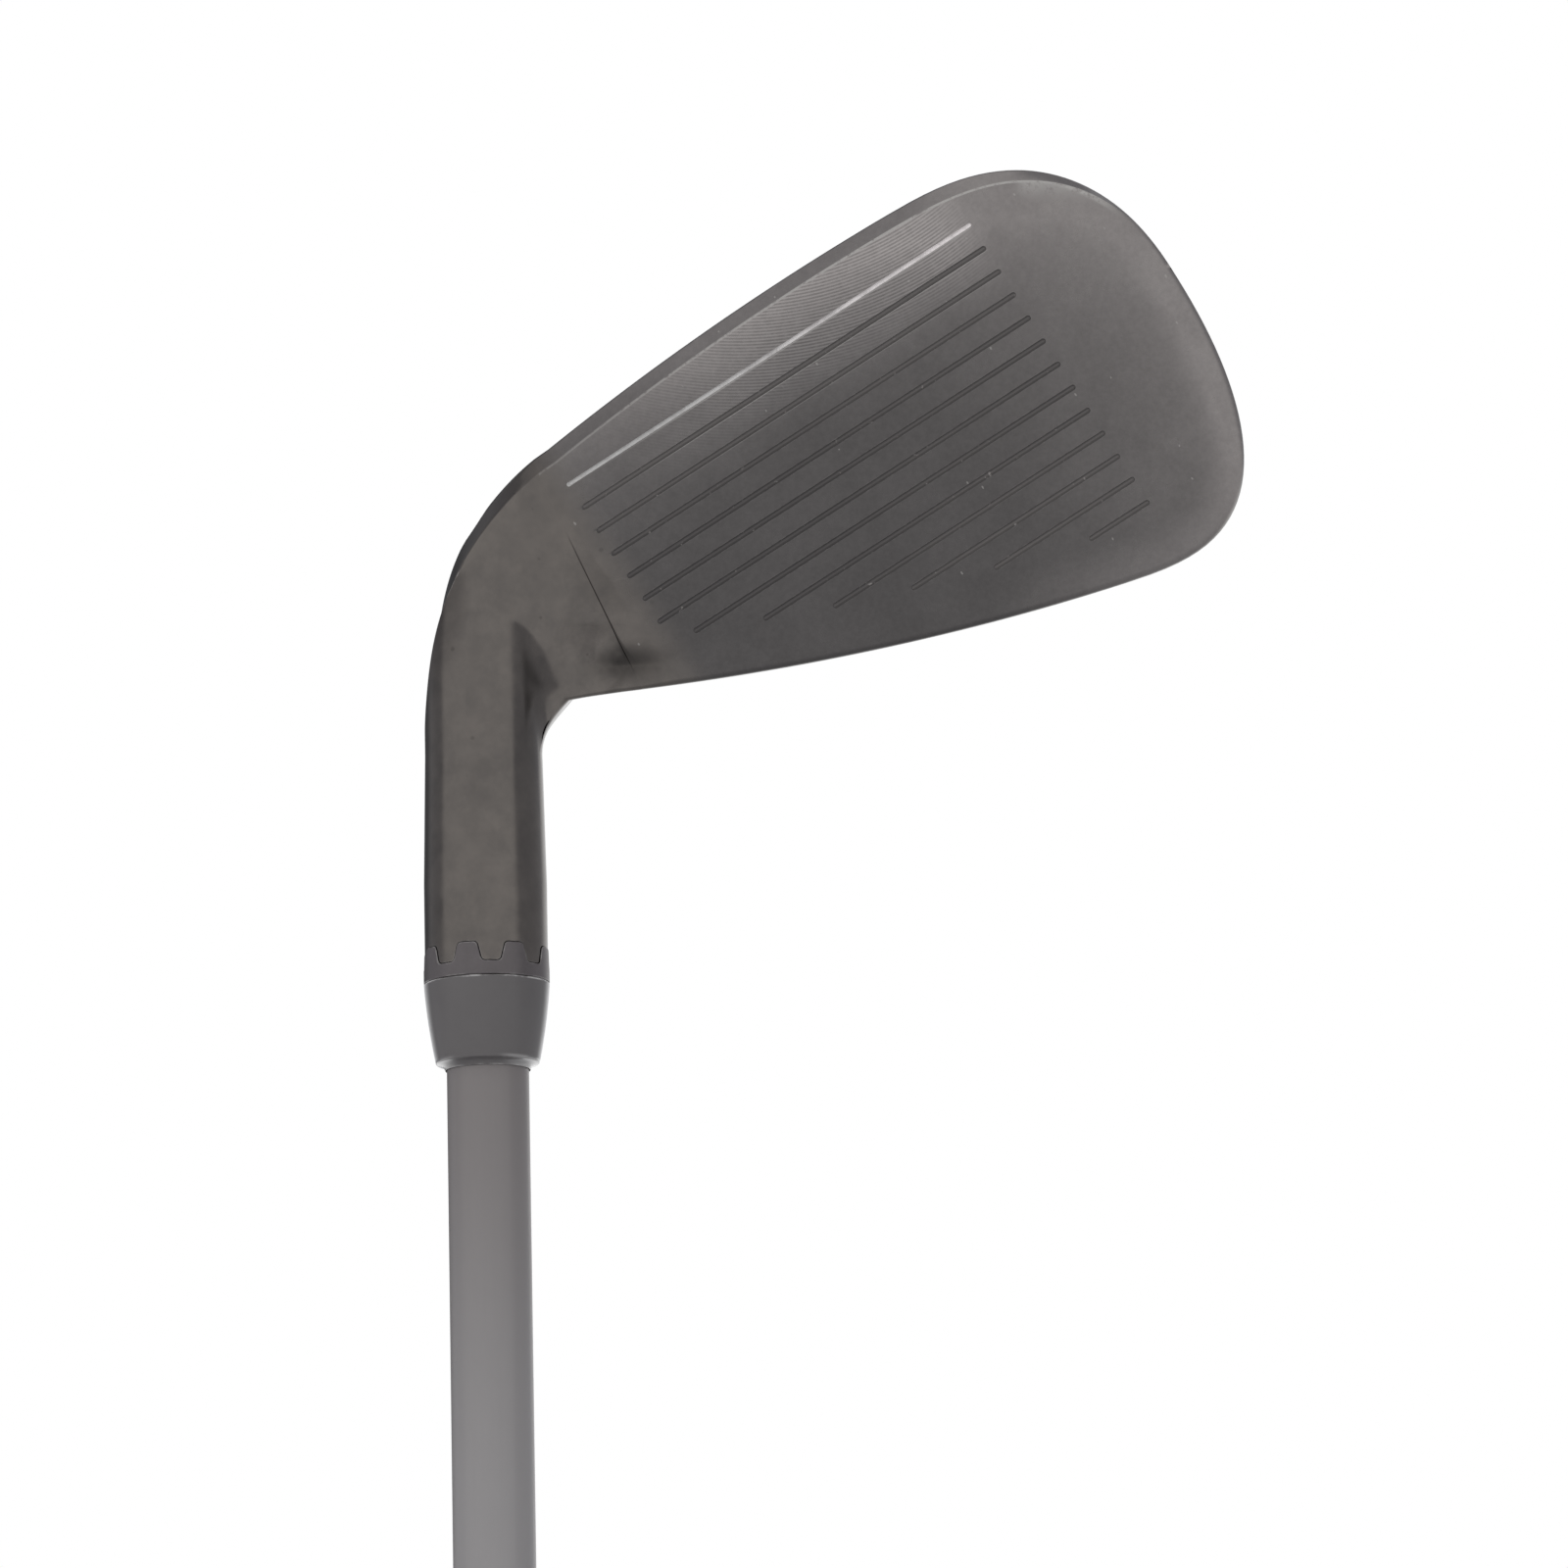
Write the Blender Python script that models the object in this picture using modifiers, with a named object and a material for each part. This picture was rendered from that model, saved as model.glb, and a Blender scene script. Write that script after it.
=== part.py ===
import math

import bmesh
import bpy
from mathutils import Matrix, Vector

# Iron golf club with a hollow forged head on a keyed, bolted shaft adapter.
# Metres and degrees. +Z runs up the shaft from the butt of the grip to the head,
# +X points to the toe's side, and the striking face looks towards -Y.

# Stance
LIE_ANGLE = 60.0
LOFT_ANGLE = 20.0
SEAT_HEIGHT = 0.951         # butt of the grip to the seat of the adapter's collar

# Fits
SEAT_GAP = 0.0003           # between faces that seat on each other
BOND_GAP = 0.00015          # bond line or slip fit round a coaxial piece
TURN_GAP = 0.0003           # round a piece that turns

# Shaft
SHAFT_TIP_RADIUS = 0.0047
SHAFT_TIP_WALL = 0.0017
SHAFT_TIP_STRAIGHT = 0.150  # parallel stretch above the tip
SHAFT_BUTT_RADIUS = 0.0076
SHAFT_BUTT_WALL = 0.0011
SHAFT_DEPTH = 0.018         # tip past the collar's seat
TIP_PLUG_LENGTH = 0.010

# Adapter and ferrule
ADAPTER_WALL = 0.0008
ADAPTER_FLOOR = 0.0010
ADAPTER_END_WALL = 0.0013
ADAPTER_END_LENGTH = 0.0062
COLLAR_LIP = 0.00015        # collar proud of the hosel
COLLAR_HEIGHT = 0.0018
TOOTH_COUNT = 8
TOOTH_HEIGHT = 0.0022
TOOTH_TIP_WIDTH = 0.0023
TOOTH_ROOT_WIDTH = 0.0034
TOOTH_TURN = -5.0           # first tooth, from +X
FERRULE_LENGTH = 0.0088
FERRULE_TAPER = 0.00125     # loss of radius towards the shaft
FERRULE_BULGE = 0.00015
FERRULE_CHAMFER = 0.0007
FERRULE_LIP_WALL = 0.00030
FERRULE_LIP_LENGTH = 0.0007

# Bolt through the heel
BOLT_RADIUS = 0.0020
BOLT_HEAD_RADIUS = 0.0029
BOLT_HEAD_HEIGHT = 0.0030
BOLT_HEAD_EASE = 0.0004
BOLT_SOCKET_RADIUS = 0.0018
BOLT_SOCKET_DEPTH = 0.0021
THREAD_ENGAGEMENT = 0.0063
WASHER_THICKNESS = 0.0008
RETAINER_THICKNESS = 0.0010
WEB_THICKNESS = 0.0105      # heel metal that the bolt clamps
POCKET_REACH = 0.030        # bolt pocket, past the bolt's head and out of the sole

# Hosel and heel
HOSEL_WALL = 0.00125
HOSEL_LENGTH = 0.0250       # rim to the start of the crotch
HOSEL_NECK = 0.0003         # loss of radius at the crotch
HOSEL_NECK_START = 0.010
CROTCH_RADIUS = 0.0066
CROTCH_START = 0.0020       # topline bends down to the crotch from here
CROTCH_EASE = 0.022
BEND_TURN = 50.0            # part of the heel's bend in which the blade turns into the hosel
HEEL_BLEND = 0.0030         # softness of the meeting of hosel and heel plate
HEEL_BLEND_GROWTH = 0.0040  # added to it towards the leading edge
CROTCH_FLARE = 4.0          # steepness at which the hosel's side runs out straight
HEEL_FLARE = 1.33
HEEL_RETREAT = 0.0022       # hosel's front falls back towards the leading edge
HEEL_RETREAT_START = 0.034
HEEL_RETREAT_END = 0.054

# Blade outline, seen square to the face; heights are above the leading edge
FACE_FORWARD = 0.0053       # leading edge in front of the shaft's axis
LEADING_EDGE_REACH = 0.05615  # leading edge's line past the collar's seat, on the axis
LEADING_EDGE_LOWEST = 0.043
LEADING_EDGE_CAMBER = 0.322
HEEL_RELIEF_START = 0.008
HEEL_RELIEF_RADIUS = 0.032
TOE_REACH = 0.0811
TOE_ROUND_START = 0.057
TOE_MID_HEIGHT = 0.0228
TOE_FULLNESS = 2.9
TOE_ROUNDNESS = 2.3
TOPLINE_HEEL_HEIGHT = 0.0292
TOPLINE_TOE_HEIGHT = 0.0509
TOPLINE_BOW = 0.0016

# Blade section
BEVEL_HEIGHT = 0.0020       # leading edge bevel, along the face
BEVEL_DEPTH = 0.0013
EDGE_EASE = 0.0008
TOPLINE_DEPTH = 0.0070
TOPLINE_EASE = 0.0022
MUSCLE_HEIGHT = 0.0190
MUSCLE_DEPTH = 0.0125
MUSCLE_EASE = 0.0070
SOLE_DEPTH = 0.0195
SOLE_HEEL_DEPTH = 0.0140
SOLE_TOE_DEPTH = 0.0115
SOLE_RISE = 0.0060
SOLE_EASE = 0.0045
SOLE_MID_DEPTH = 0.0090
SOLE_MID_RISE = 0.0014

# Walls and seam
FACE_WALL = 0.0023
SOLE_WALL = 0.0026
TOPLINE_WALL = 0.0024
BACK_WALL = 0.0020
TOE_WALL = 0.0030
CAVITY_HEEL = 0.0110
SEAM_DEPTH = 0.0050         # face cup's skirt, behind the face
SEAM_START = 0.0077         # crease at the heel, on the leading edge's line
SEAM_TILT = 7.5

# Scorelines
SCORE_COUNT = 13
SCORE_FIRST_HEIGHT = 0.0064
SCORE_PITCH = 0.00316
SCORE_WIDTH = 0.0007
SCORE_DEPTH = 0.00045
SCORE_HEEL_END = 0.0093
SCORE_TOE_END = 0.0645
SCORE_TOPLINE_MARGIN = 0.0063

# Toe weight inside the cavity
WEIGHT_START = 0.0560
WEIGHT_HEIGHT = 0.0155

# Port in the back wall, closed by a screw
PORT_ALONG = 0.0640
PORT_HEIGHT = 0.0330
PORT_RADIUS = 0.0022
PORT_BOSS_WALL = 0.0016
PORT_BOSS_LENGTH = 0.0030
PORT_HEAD_WALL = 0.0010     # head's overhang round the thread
PORT_HEAD_HEIGHT = 0.0012
PORT_SLOT_RADIUS = 0.0014
PORT_SLOT_DEPTH = 0.0008

# Grip
GRIP_LENGTH = 0.267
GRIP_CAP_RADIUS = 0.0157
GRIP_CAP_HEIGHT = 0.0048
GRIP_CAP_EASE = 0.0014
GRIP_VENT_RADIUS = 0.0018
GRIP_NECK_LENGTH = 0.030    # flare below the cap
GRIP_NECK_RADIUS = 0.0122
GRIP_MOUTH_RADIUS = 0.0088
GRIP_MOUTH_EASE = 0.0008
TAPE_THICKNESS = 0.00025
TAPE_MARGIN = 0.004         # grip past the tape at the mouth

# Fineness of the facets
ROUND_STEPS = 36
FACE_STEPS = 18
TOE_STEPS = 11
BLADE_STEPS = 6
HEEL_STEPS = 8
BEND_STEPS = 10
TOE_END_TURN = 2.0          # left of the toe's quarter round at its last section
CAVITY_TOE_STEPS = 4
CAVITY_END_TURN = 22.0
CURVE_STEPS = 5             # along the ferrule's taper and the grip's flare
EASE_STEPS = 3
SOLE_POINTS = 6             # section points from the leading edge to the middle of the sole
CORNER_SHARE = 0.45         # most of a section's side that the ease of a corner takes
SHARP_ANGLE = 30.0

# Sizes that follow from the ones above
ADAPTER_BORE = SHAFT_TIP_RADIUS + BOND_GAP
ADAPTER_RADIUS = ADAPTER_BORE + ADAPTER_WALL
HOSEL_BORE = ADAPTER_RADIUS + BOND_GAP
HOSEL_RADIUS = HOSEL_BORE + HOSEL_WALL
NECK_RADIUS = HOSEL_RADIUS - HOSEL_NECK
COLLAR_RADIUS = HOSEL_RADIUS + COLLAR_LIP
THREAD_BORE = BOLT_RADIUS + TURN_GAP
ADAPTER_END_RADIUS = THREAD_BORE + ADAPTER_END_WALL
END_BORE = ADAPTER_END_RADIUS + TURN_GAP
POCKET_RADIUS = BOLT_HEAD_RADIUS + TURN_GAP

# Heights along the axis, from the collar's seat
SHAFT_STOP = SHAFT_DEPTH + SEAT_GAP
ADAPTER_SHOULDER = SHAFT_STOP + ADAPTER_FLOOR
ADAPTER_TOP = ADAPTER_SHOULDER + ADAPTER_END_LENGTH
RETAINER_BASE = ADAPTER_TOP + SEAT_GAP
WEB_BASE = RETAINER_BASE + RETAINER_THICKNESS + SEAT_GAP
WEB_TOP = WEB_BASE + WEB_THICKNESS
WASHER_BASE = WEB_TOP + SEAT_GAP
BOLT_HEAD_BASE = WASHER_BASE + WASHER_THICKNESS + SEAT_GAP
BOLT_TIP = ADAPTER_TOP - THREAD_ENGAGEMENT
FERRULE_TOP = -COLLAR_HEIGHT - SEAT_GAP

# Heights above the butt
SHAFT_BASE = GRIP_CAP_HEIGHT + SEAT_GAP
SHAFT_TOP = SEAT_HEIGHT + SHAFT_DEPTH
STRAIGHT_BASE = SHAFT_TOP - SHAFT_TIP_STRAIGHT

# Face frame, in the head's own frame
LIE = math.radians(LIE_ANGLE)
LOFT = math.radians(LOFT_ANGLE)
TOEWARD = Vector((math.sin(LIE), 0, math.cos(LIE)))
UPWARD = Vector((math.cos(LOFT) * math.cos(LIE), math.sin(LOFT), -math.cos(LOFT) * math.sin(LIE)))
OUTWARD = Vector((math.sin(LOFT) * math.cos(LIE), -math.cos(LOFT), -math.sin(LOFT) * math.sin(LIE)))
FACE_ORIGIN = Vector((0, -FACE_FORWARD, LEADING_EDGE_REACH))
FACE_FRAME = Matrix((TOEWARD, UPWARD, -OUTWARD)).transposed().to_4x4()
FACE_FRAME.translation = FACE_ORIGIN
PIVOT = Vector((NECK_RADIUS + CROTCH_RADIUS, 0, HOSEL_LENGTH))
BEND_START = (PIVOT - FACE_ORIGIN).dot(TOEWARD)


def clear_scene():
    for old in list(bpy.data.objects):
        bpy.data.objects.remove(old, do_unlink=True)


def new_collection(name):
    collection = bpy.data.collections.new(name)
    bpy.context.scene.collection.children.link(collection)
    return collection


def new_material(name, colour, roughness, metallic):
    material = bpy.data.materials.new(name)
    material.use_nodes = True
    shader = material.node_tree.nodes["Principled BSDF"]
    shader.inputs["Base Color"].default_value = (*colour, 1.0)
    shader.inputs["Roughness"].default_value = roughness
    shader.inputs["Metallic"].default_value = metallic
    return material


def new_object(name, mesh, collection, parent=None):
    piece = bpy.data.objects.new(name, mesh)
    collection.objects.link(piece)
    piece.parent = parent
    return piece


def finish_mesh(bm, name):
    bmesh.ops.recalc_face_normals(bm, faces=bm.faces)
    mesh = bpy.data.meshes.new(name)
    bm.to_mesh(mesh)
    bm.free()
    mesh.shade_smooth()
    mesh.set_sharp_from_angle(angle=math.radians(SHARP_ANGLE))
    return mesh


def as_cutter(piece):
    piece.hide_render = True
    piece.display_type = "WIRE"
    return piece


def boolean(piece, other, operation="DIFFERENCE"):
    modifier = piece.modifiers.new(operation.lower() + "_" + other.name, "BOOLEAN")
    modifier.operation = operation
    modifier.object = other


# Turned pieces: a profile of (radius, height) that runs down the outer side

def turned(name, profile, collection, parent, closed=True):
    mesh = bpy.data.meshes.new(name)
    points = [(radius, 0, height) for radius, height in profile]
    edges = [(i, i + 1) for i in range(len(points) - 1)]
    if closed:
        edges.append((len(points) - 1, 0))
    mesh.from_pydata(points, edges, [])
    piece = new_object(name, mesh, collection, parent)
    screw = piece.modifiers.new("turn", "SCREW")
    screw.steps = ROUND_STEPS
    screw.render_steps = ROUND_STEPS
    screw.use_merge_vertices = True
    screw.merge_threshold = 0.00001
    screw.use_smooth_shade = True
    return piece


def tube_profile(outer, inner):
    return list(outer) + list(reversed(inner))


def eased(radius, height, ease):
    # quarter round at a rim, from the flat end at the given height up to the wall
    points = []
    for angle in spread(0.0, math.pi / 2, EASE_STEPS):
        points.append((radius - ease * (1 - math.sin(angle)), height + ease * (1 - math.cos(angle))))
    return points


# Blade outline and section

def toe_fullness(u, reach):
    if u <= TOE_ROUND_START:
        return 1.0
    x = (u - TOE_ROUND_START) / (reach - TOE_ROUND_START)
    return (1 - x ** TOE_FULLNESS) ** (1 / TOE_ROUNDNESS)


def topline(u):
    x = u / TOE_ROUND_START
    rise = (TOPLINE_TOE_HEIGHT - TOPLINE_HEEL_HEIGHT) * x
    crotch = max(0.0, CROTCH_START - u) ** 2 / (2 * CROTCH_EASE)
    return TOPLINE_HEEL_HEIGHT + rise + 4 * TOPLINE_BOW * x * (1 - x) + crotch


def leading_edge(u):
    camber = (u - LEADING_EDGE_LOWEST) ** 2 / (2 * LEADING_EDGE_CAMBER)
    relief = max(0.0, HEEL_RELIEF_START - u) ** 2 / (2 * HEEL_RELIEF_RADIUS)
    return camber + relief


def outline(u, reach):
    # lowest and highest edge of the face at a distance along it
    full = toe_fullness(u, reach)
    low = TOE_MID_HEIGHT - (TOE_MID_HEIGHT - leading_edge(u)) * full
    high = TOE_MID_HEIGHT + (topline(u) - TOE_MID_HEIGHT) * full
    return low, high, full


def sole_depth(u, full):
    towards_toe = SOLE_TOE_DEPTH + (SOLE_DEPTH - SOLE_TOE_DEPTH) * full
    heel = smooth((u - BEND_START) / (TOE_ROUND_START / 2 - BEND_START))
    return towards_toe - (SOLE_DEPTH - SOLE_HEEL_DEPTH) * (1 - heel)


def smooth(x):
    x = min(1.0, max(0.0, x))
    return x * x * (3 - 2 * x)


def soft_min(a, b, width):
    overlap = max(width - abs(a - b), 0.0) / width
    return min(a, b) - overlap * overlap * width / 4


def spread(start, end, steps):
    return [start + (end - start) * i / steps for i in range(steps + 1)]


def rounded(corners):
    # (height, depth, ease, steps) corners, with each eased corner as a short curve
    points = []
    for i in range(1, len(corners) - 1):
        here = Vector(corners[i][:2])
        before = Vector(corners[i - 1][:2]) - here
        after = Vector(corners[i + 1][:2]) - here
        ease = min(corners[i][2], CORNER_SHARE * before.length, CORNER_SHARE * after.length)
        first = here + before.normalized() * ease
        last = here + after.normalized() * ease
        for x in spread(0.0, 1.0, corners[i][3]):
            points.append(first * (1 - x) ** 2 + here * (2 * x * (1 - x)) + last * x * x)
    return points


def blade_section(u):
    # points of (height, depth): up the face, over the topline, down the back, along the sole
    low, high, full = outline(u, TOE_REACH)
    depth = sole_depth(u, full)
    scale = depth / SOLE_DEPTH
    face_low = low + BEVEL_HEIGHT * full
    face = [Vector((w, 0)) for w in spread(face_low, high - EDGE_EASE * full, FACE_STEPS)]
    muscle_depth = TOPLINE_DEPTH + (MUSCLE_DEPTH - TOPLINE_DEPTH) * scale
    rear = rounded([
        (face_low, 0, 0, 0),
        (high, 0, EDGE_EASE * full, 2),
        (high, TOPLINE_DEPTH, TOPLINE_EASE * full, 3),
        (low + MUSCLE_HEIGHT * full, muscle_depth, MUSCLE_EASE, 3),
        (low + SOLE_RISE * full * scale, depth, SOLE_EASE, 4),
        (low + SOLE_MID_RISE * full, SOLE_MID_DEPTH * scale, SOLE_EASE, 2),
        (low, BEVEL_DEPTH, EDGE_EASE * full, 2),
        (face_low, 0, 0, 0),
    ])
    return face, rear[1:]


def on_face(u, point):
    return FACE_ORIGIN + TOEWARD * u + UPWARD * point[0] - OUTWARD * point[1]


def hosel_front(x, z):
    # front of the hosel, which flares to the blade and falls back towards the leading edge
    rise = smooth((z - HOSEL_LENGTH) / (HEEL_RETREAT_START - HOSEL_LENGTH))
    steepness = CROTCH_FLARE + (HEEL_FLARE - CROTCH_FLARE) * rise
    edge = NECK_RADIUS * steepness / math.hypot(1.0, steepness)
    round_x = max(-NECK_RADIUS, min(x, edge))
    front = -math.sqrt(NECK_RADIUS ** 2 - round_x * round_x)
    if x > edge:
        front += (x - edge) * steepness
    span = HEEL_RETREAT_END - HEEL_RETREAT_START
    return front + HEEL_RETREAT * smooth((z - HEEL_RETREAT_START) / span)


def face_plane_y(x, z):
    offset = OUTWARD.x * (x - FACE_ORIGIN.x) + OUTWARD.z * (z - FACE_ORIGIN.z)
    return FACE_ORIGIN.y - offset / OUTWARD.y


def with_hosel(point):
    rise = smooth((point.z - HOSEL_LENGTH) / (HEEL_RETREAT_END - HOSEL_LENGTH))
    width = HEEL_BLEND + HEEL_BLEND_GROWTH * rise
    front = soft_min(face_plane_y(point.x, point.z), hosel_front(point.x, point.z), width)
    return Vector((point.x, front, point.z))


def blade_ring(u):
    face, rear = blade_section(u)
    face = [on_face(u, point) for point in face]
    rear = [on_face(u, point) for point in rear]
    if u < SEAM_START:
        plane_y = face[0].y
        face = [with_hosel(point) for point in face]
        # the leading edge and the front of the sole come forward with the heel
        for i in range(SOLE_POINTS):
            rear[-1 - i].y += (face[0].y - plane_y) * (1 - i / SOLE_POINTS)
    return face + rear


def arc_angles(ring):
    # half turn round the back, shared out by the lengths of the section's sides
    rear = ring[FACE_STEPS:] + ring[:1]
    lengths = [(b - a).length for a, b in zip(rear, rear[1:])]
    total = sum(lengths)
    return [math.pi * sum(lengths[:i + 1]) / total for i in range(len(lengths) - 1)]


def bend_ring(angle):
    # section in a plane through the crotch's pivot, turned from the blade to the hosel
    done = min(1.0, math.degrees(angle) / BEND_TURN)
    share = math.sin(math.pi / 2 * done)
    start = blade_ring(BEND_START)
    ray = Vector((-math.cos(LIE), 0, math.sin(LIE)))
    flat = [((point - PIVOT).dot(ray), point.y) for point in start]
    turn = math.pi - LIE + angle
    along = Vector((math.cos(turn), 0, math.sin(turn)))
    ring = []
    for i in range(FACE_STEPS + 1):
        x = NECK_RADIUS * -math.cos(math.pi * i / FACE_STEPS)
        reach = flat[i][0] * (1 - share) + (PIVOT.x - x) * share
        ring.append(with_hosel(PIVOT + along * reach))
    for old, round_angle in zip(flat[FACE_STEPS + 1:], arc_angles(start)):
        reach = old[0] * (1 - share) + (PIVOT.x - NECK_RADIUS * math.cos(round_angle)) * share
        point = PIVOT + along * reach
        point.y = old[1] + (NECK_RADIUS * math.sin(round_angle) - old[1]) * smooth(done)
        ring.append(point)
    return ring


def hosel_ring(height, rear_count):
    radius = HOSEL_RADIUS
    ring = []
    for i in range(FACE_STEPS + 1):
        angle = math.pi + math.pi * i / FACE_STEPS
        ring.append(Vector((radius * math.cos(angle), radius * math.sin(angle), height)))
    for i in range(rear_count):
        angle = math.pi * (i + 1) / (rear_count + 1)
        ring.append(Vector((radius * math.cos(angle), radius * math.sin(angle), height)))
    return ring


def toe_stations(reach, end_turn, steps):
    # distances along the face, closer together where the toe rounds off
    span = reach - TOE_ROUND_START
    turns = spread(math.radians(end_turn), math.pi / 2, steps)
    return [TOE_ROUND_START + span * math.cos(turn) for turn in turns]


def loft(rings, name):
    bm = bmesh.new()
    rows = [[bm.verts.new(point) for point in ring] for ring in rings]
    count = len(rings[0])
    for first, second in zip(rows, rows[1:]):
        for i in range(count):
            j = (i + 1) % count
            bm.faces.new((first[i], first[j], second[j], second[i]))
    bm.faces.new(rows[0])
    bm.faces.new(rows[-1])
    bmesh.ops.triangulate(bm, faces=[f for f in bm.faces if len(f.verts) > 4])
    return finish_mesh(bm, name)


def head_envelope():
    stations = toe_stations(TOE_REACH, TOE_END_TURN, TOE_STEPS)
    stations += spread(TOE_ROUND_START, SEAM_START, BLADE_STEPS)[1:]
    stations += spread(SEAM_START, BEND_START, HEEL_STEPS)[1:]
    rings = [blade_ring(u) for u in stations]
    rings += [bend_ring(angle) for angle in spread(0.0, LIE, BEND_STEPS)[1:]]
    rear_count = len(rings[0]) - FACE_STEPS - 1
    rings.append(hosel_ring(HOSEL_NECK_START, rear_count))
    rings.append(hosel_ring(SEAT_GAP, rear_count))
    return loft(rings, "head_envelope")


def cavity_ring(u, inset):
    reach = TOE_REACH - TOE_WALL - inset
    low, high, full = outline(u, reach)
    depth = sole_depth(u, full)
    scale = depth / SOLE_DEPTH
    front = FACE_WALL + inset
    back = BACK_WALL + inset
    floor = SOLE_WALL + inset
    muscle_depth = TOPLINE_DEPTH + (MUSCLE_DEPTH - TOPLINE_DEPTH) * scale
    corners = [
        (low + floor + BEVEL_HEIGHT * full / 2, front, 0, 0),
        (high - TOPLINE_WALL - inset, front, EDGE_EASE * full, 2),
        (high - TOPLINE_WALL - inset, TOPLINE_DEPTH - back, EDGE_EASE * full, 2),
        (low + MUSCLE_HEIGHT * full, muscle_depth - back, MUSCLE_EASE, 3),
        (low + SOLE_RISE * full * scale + floor, depth - back - inset, SOLE_EASE, 3),
        (low + SOLE_MID_RISE * full + floor, SOLE_MID_DEPTH * scale, EDGE_EASE * full, 2),
        (low + floor + BEVEL_HEIGHT * full / 2, front, EDGE_EASE * full, 2),
        (high - TOPLINE_WALL - inset, front, 0, 0),
    ]
    return [on_face(u, point) for point in rounded(corners)]


def cavity_mesh(name, inset):
    stations = toe_stations(TOE_REACH - TOE_WALL - inset, CAVITY_END_TURN, CAVITY_TOE_STEPS)
    stations += spread(TOE_ROUND_START, CAVITY_HEEL + inset, BLADE_STEPS)[1:]
    return loft([cavity_ring(u, inset) for u in stations], name)


# Cutters in the face's own frame: u along the face, w up it, b behind it

def face_block(name, low, high, collection, parent, heel_tilt=0.0):
    bm = bmesh.new()
    bmesh.ops.create_cube(bm, size=1.0)
    for vert in bm.verts:
        u, w, b = (low[i] if vert.co[i] < 0 else high[i] for i in range(3))
        if vert.co.x < 0:
            u -= w * math.tan(heel_tilt)
        vert.co = FACE_FRAME @ Vector((u, w, b))
    return as_cutter(new_object(name, finish_mesh(bm, name), collection, parent))


def score_lines():
    # (heel end, height) of each line; it runs heelwards while the topline leaves room
    lines = []
    for i in range(SCORE_COUNT):
        height = SCORE_FIRST_HEIGHT + SCORE_PITCH * i
        end = SCORE_TOE_END
        while end > SCORE_HEEL_END and topline(end) - height > SCORE_TOPLINE_MARGIN:
            end -= SCORE_WIDTH
        if end < SCORE_TOE_END:
            lines.append((max(end, SCORE_HEEL_END), height))
    return lines


def score_cutter(collection, parent):
    bm = bmesh.new()
    for start, height in score_lines():
        length = SCORE_TOE_END - start
        size = Matrix.Diagonal((length, SCORE_WIDTH, 2 * SCORE_DEPTH, 1.0))
        place = Matrix.Translation((start + length / 2, height, 0))
        bmesh.ops.create_cube(bm, size=1.0, matrix=FACE_FRAME @ place @ size)
    return as_cutter(new_object("score_cutter", finish_mesh(bm, "score_cutter"), collection, parent))


def tooth_prisms(name, first_angle, tip_width, root_width, low, high, inner, outer, collection, parent):
    # one tapered block for each tooth or gap round the collar
    bm = bmesh.new()
    for i in range(TOOTH_COUNT):
        made = bmesh.ops.create_cube(bm, size=1.0)["verts"]
        for vert in made:
            width = tip_width if vert.co.z > 0 else root_width
            radius = outer if vert.co.x > 0 else inner
            height = high if vert.co.z > 0 else low
            vert.co = Vector((radius, math.copysign(width / 2, vert.co.y), height))
        angle = first_angle + 2 * math.pi * i / TOOTH_COUNT
        bmesh.ops.rotate(bm, verts=made, matrix=Matrix.Rotation(angle, 3, "Z"))
    return as_cutter(new_object(name, finish_mesh(bm, name), collection, parent))


def cylinder_cutter(name, radius, low, high, frame, segments, collection, parent):
    bm = bmesh.new()
    place = frame @ Matrix.Translation((0, 0, (low + high) / 2))
    bmesh.ops.create_cone(bm, cap_ends=True, segments=segments, radius1=radius, radius2=radius,
                          depth=high - low, matrix=place)
    return as_cutter(new_object(name, finish_mesh(bm, name), collection, parent))


# Grip and shaft profiles, by height above the butt

def shaft_radius(height):
    share = min(1.0, (height - SHAFT_BASE) / (STRAIGHT_BASE - SHAFT_BASE))
    return SHAFT_BUTT_RADIUS + (SHAFT_TIP_RADIUS - SHAFT_BUTT_RADIUS) * share


def shaft_bore(height):
    share = min(1.0, (height - SHAFT_BASE) / (STRAIGHT_BASE - SHAFT_BASE))
    return shaft_radius(height) - SHAFT_BUTT_WALL - (SHAFT_TIP_WALL - SHAFT_BUTT_WALL) * share


def make_shaft(parts, parent):
    heights = (SHAFT_TOP, STRAIGHT_BASE, SHAFT_BASE)
    outer = [(shaft_radius(h), h) for h in heights]
    inner = [(shaft_bore(h), h) for h in heights]
    return turned("shaft", tube_profile(outer, inner), parts, parent)


def make_tip_plug(parts, parent):
    radius = shaft_bore(SHAFT_TOP) - BOND_GAP
    top = SHAFT_TOP - SEAT_GAP
    base = top - TIP_PLUG_LENGTH
    profile = [(0, top), (radius, top), (radius, base), (0, base)]
    return turned("tip_plug", profile, parts, parent, closed=False)


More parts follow.
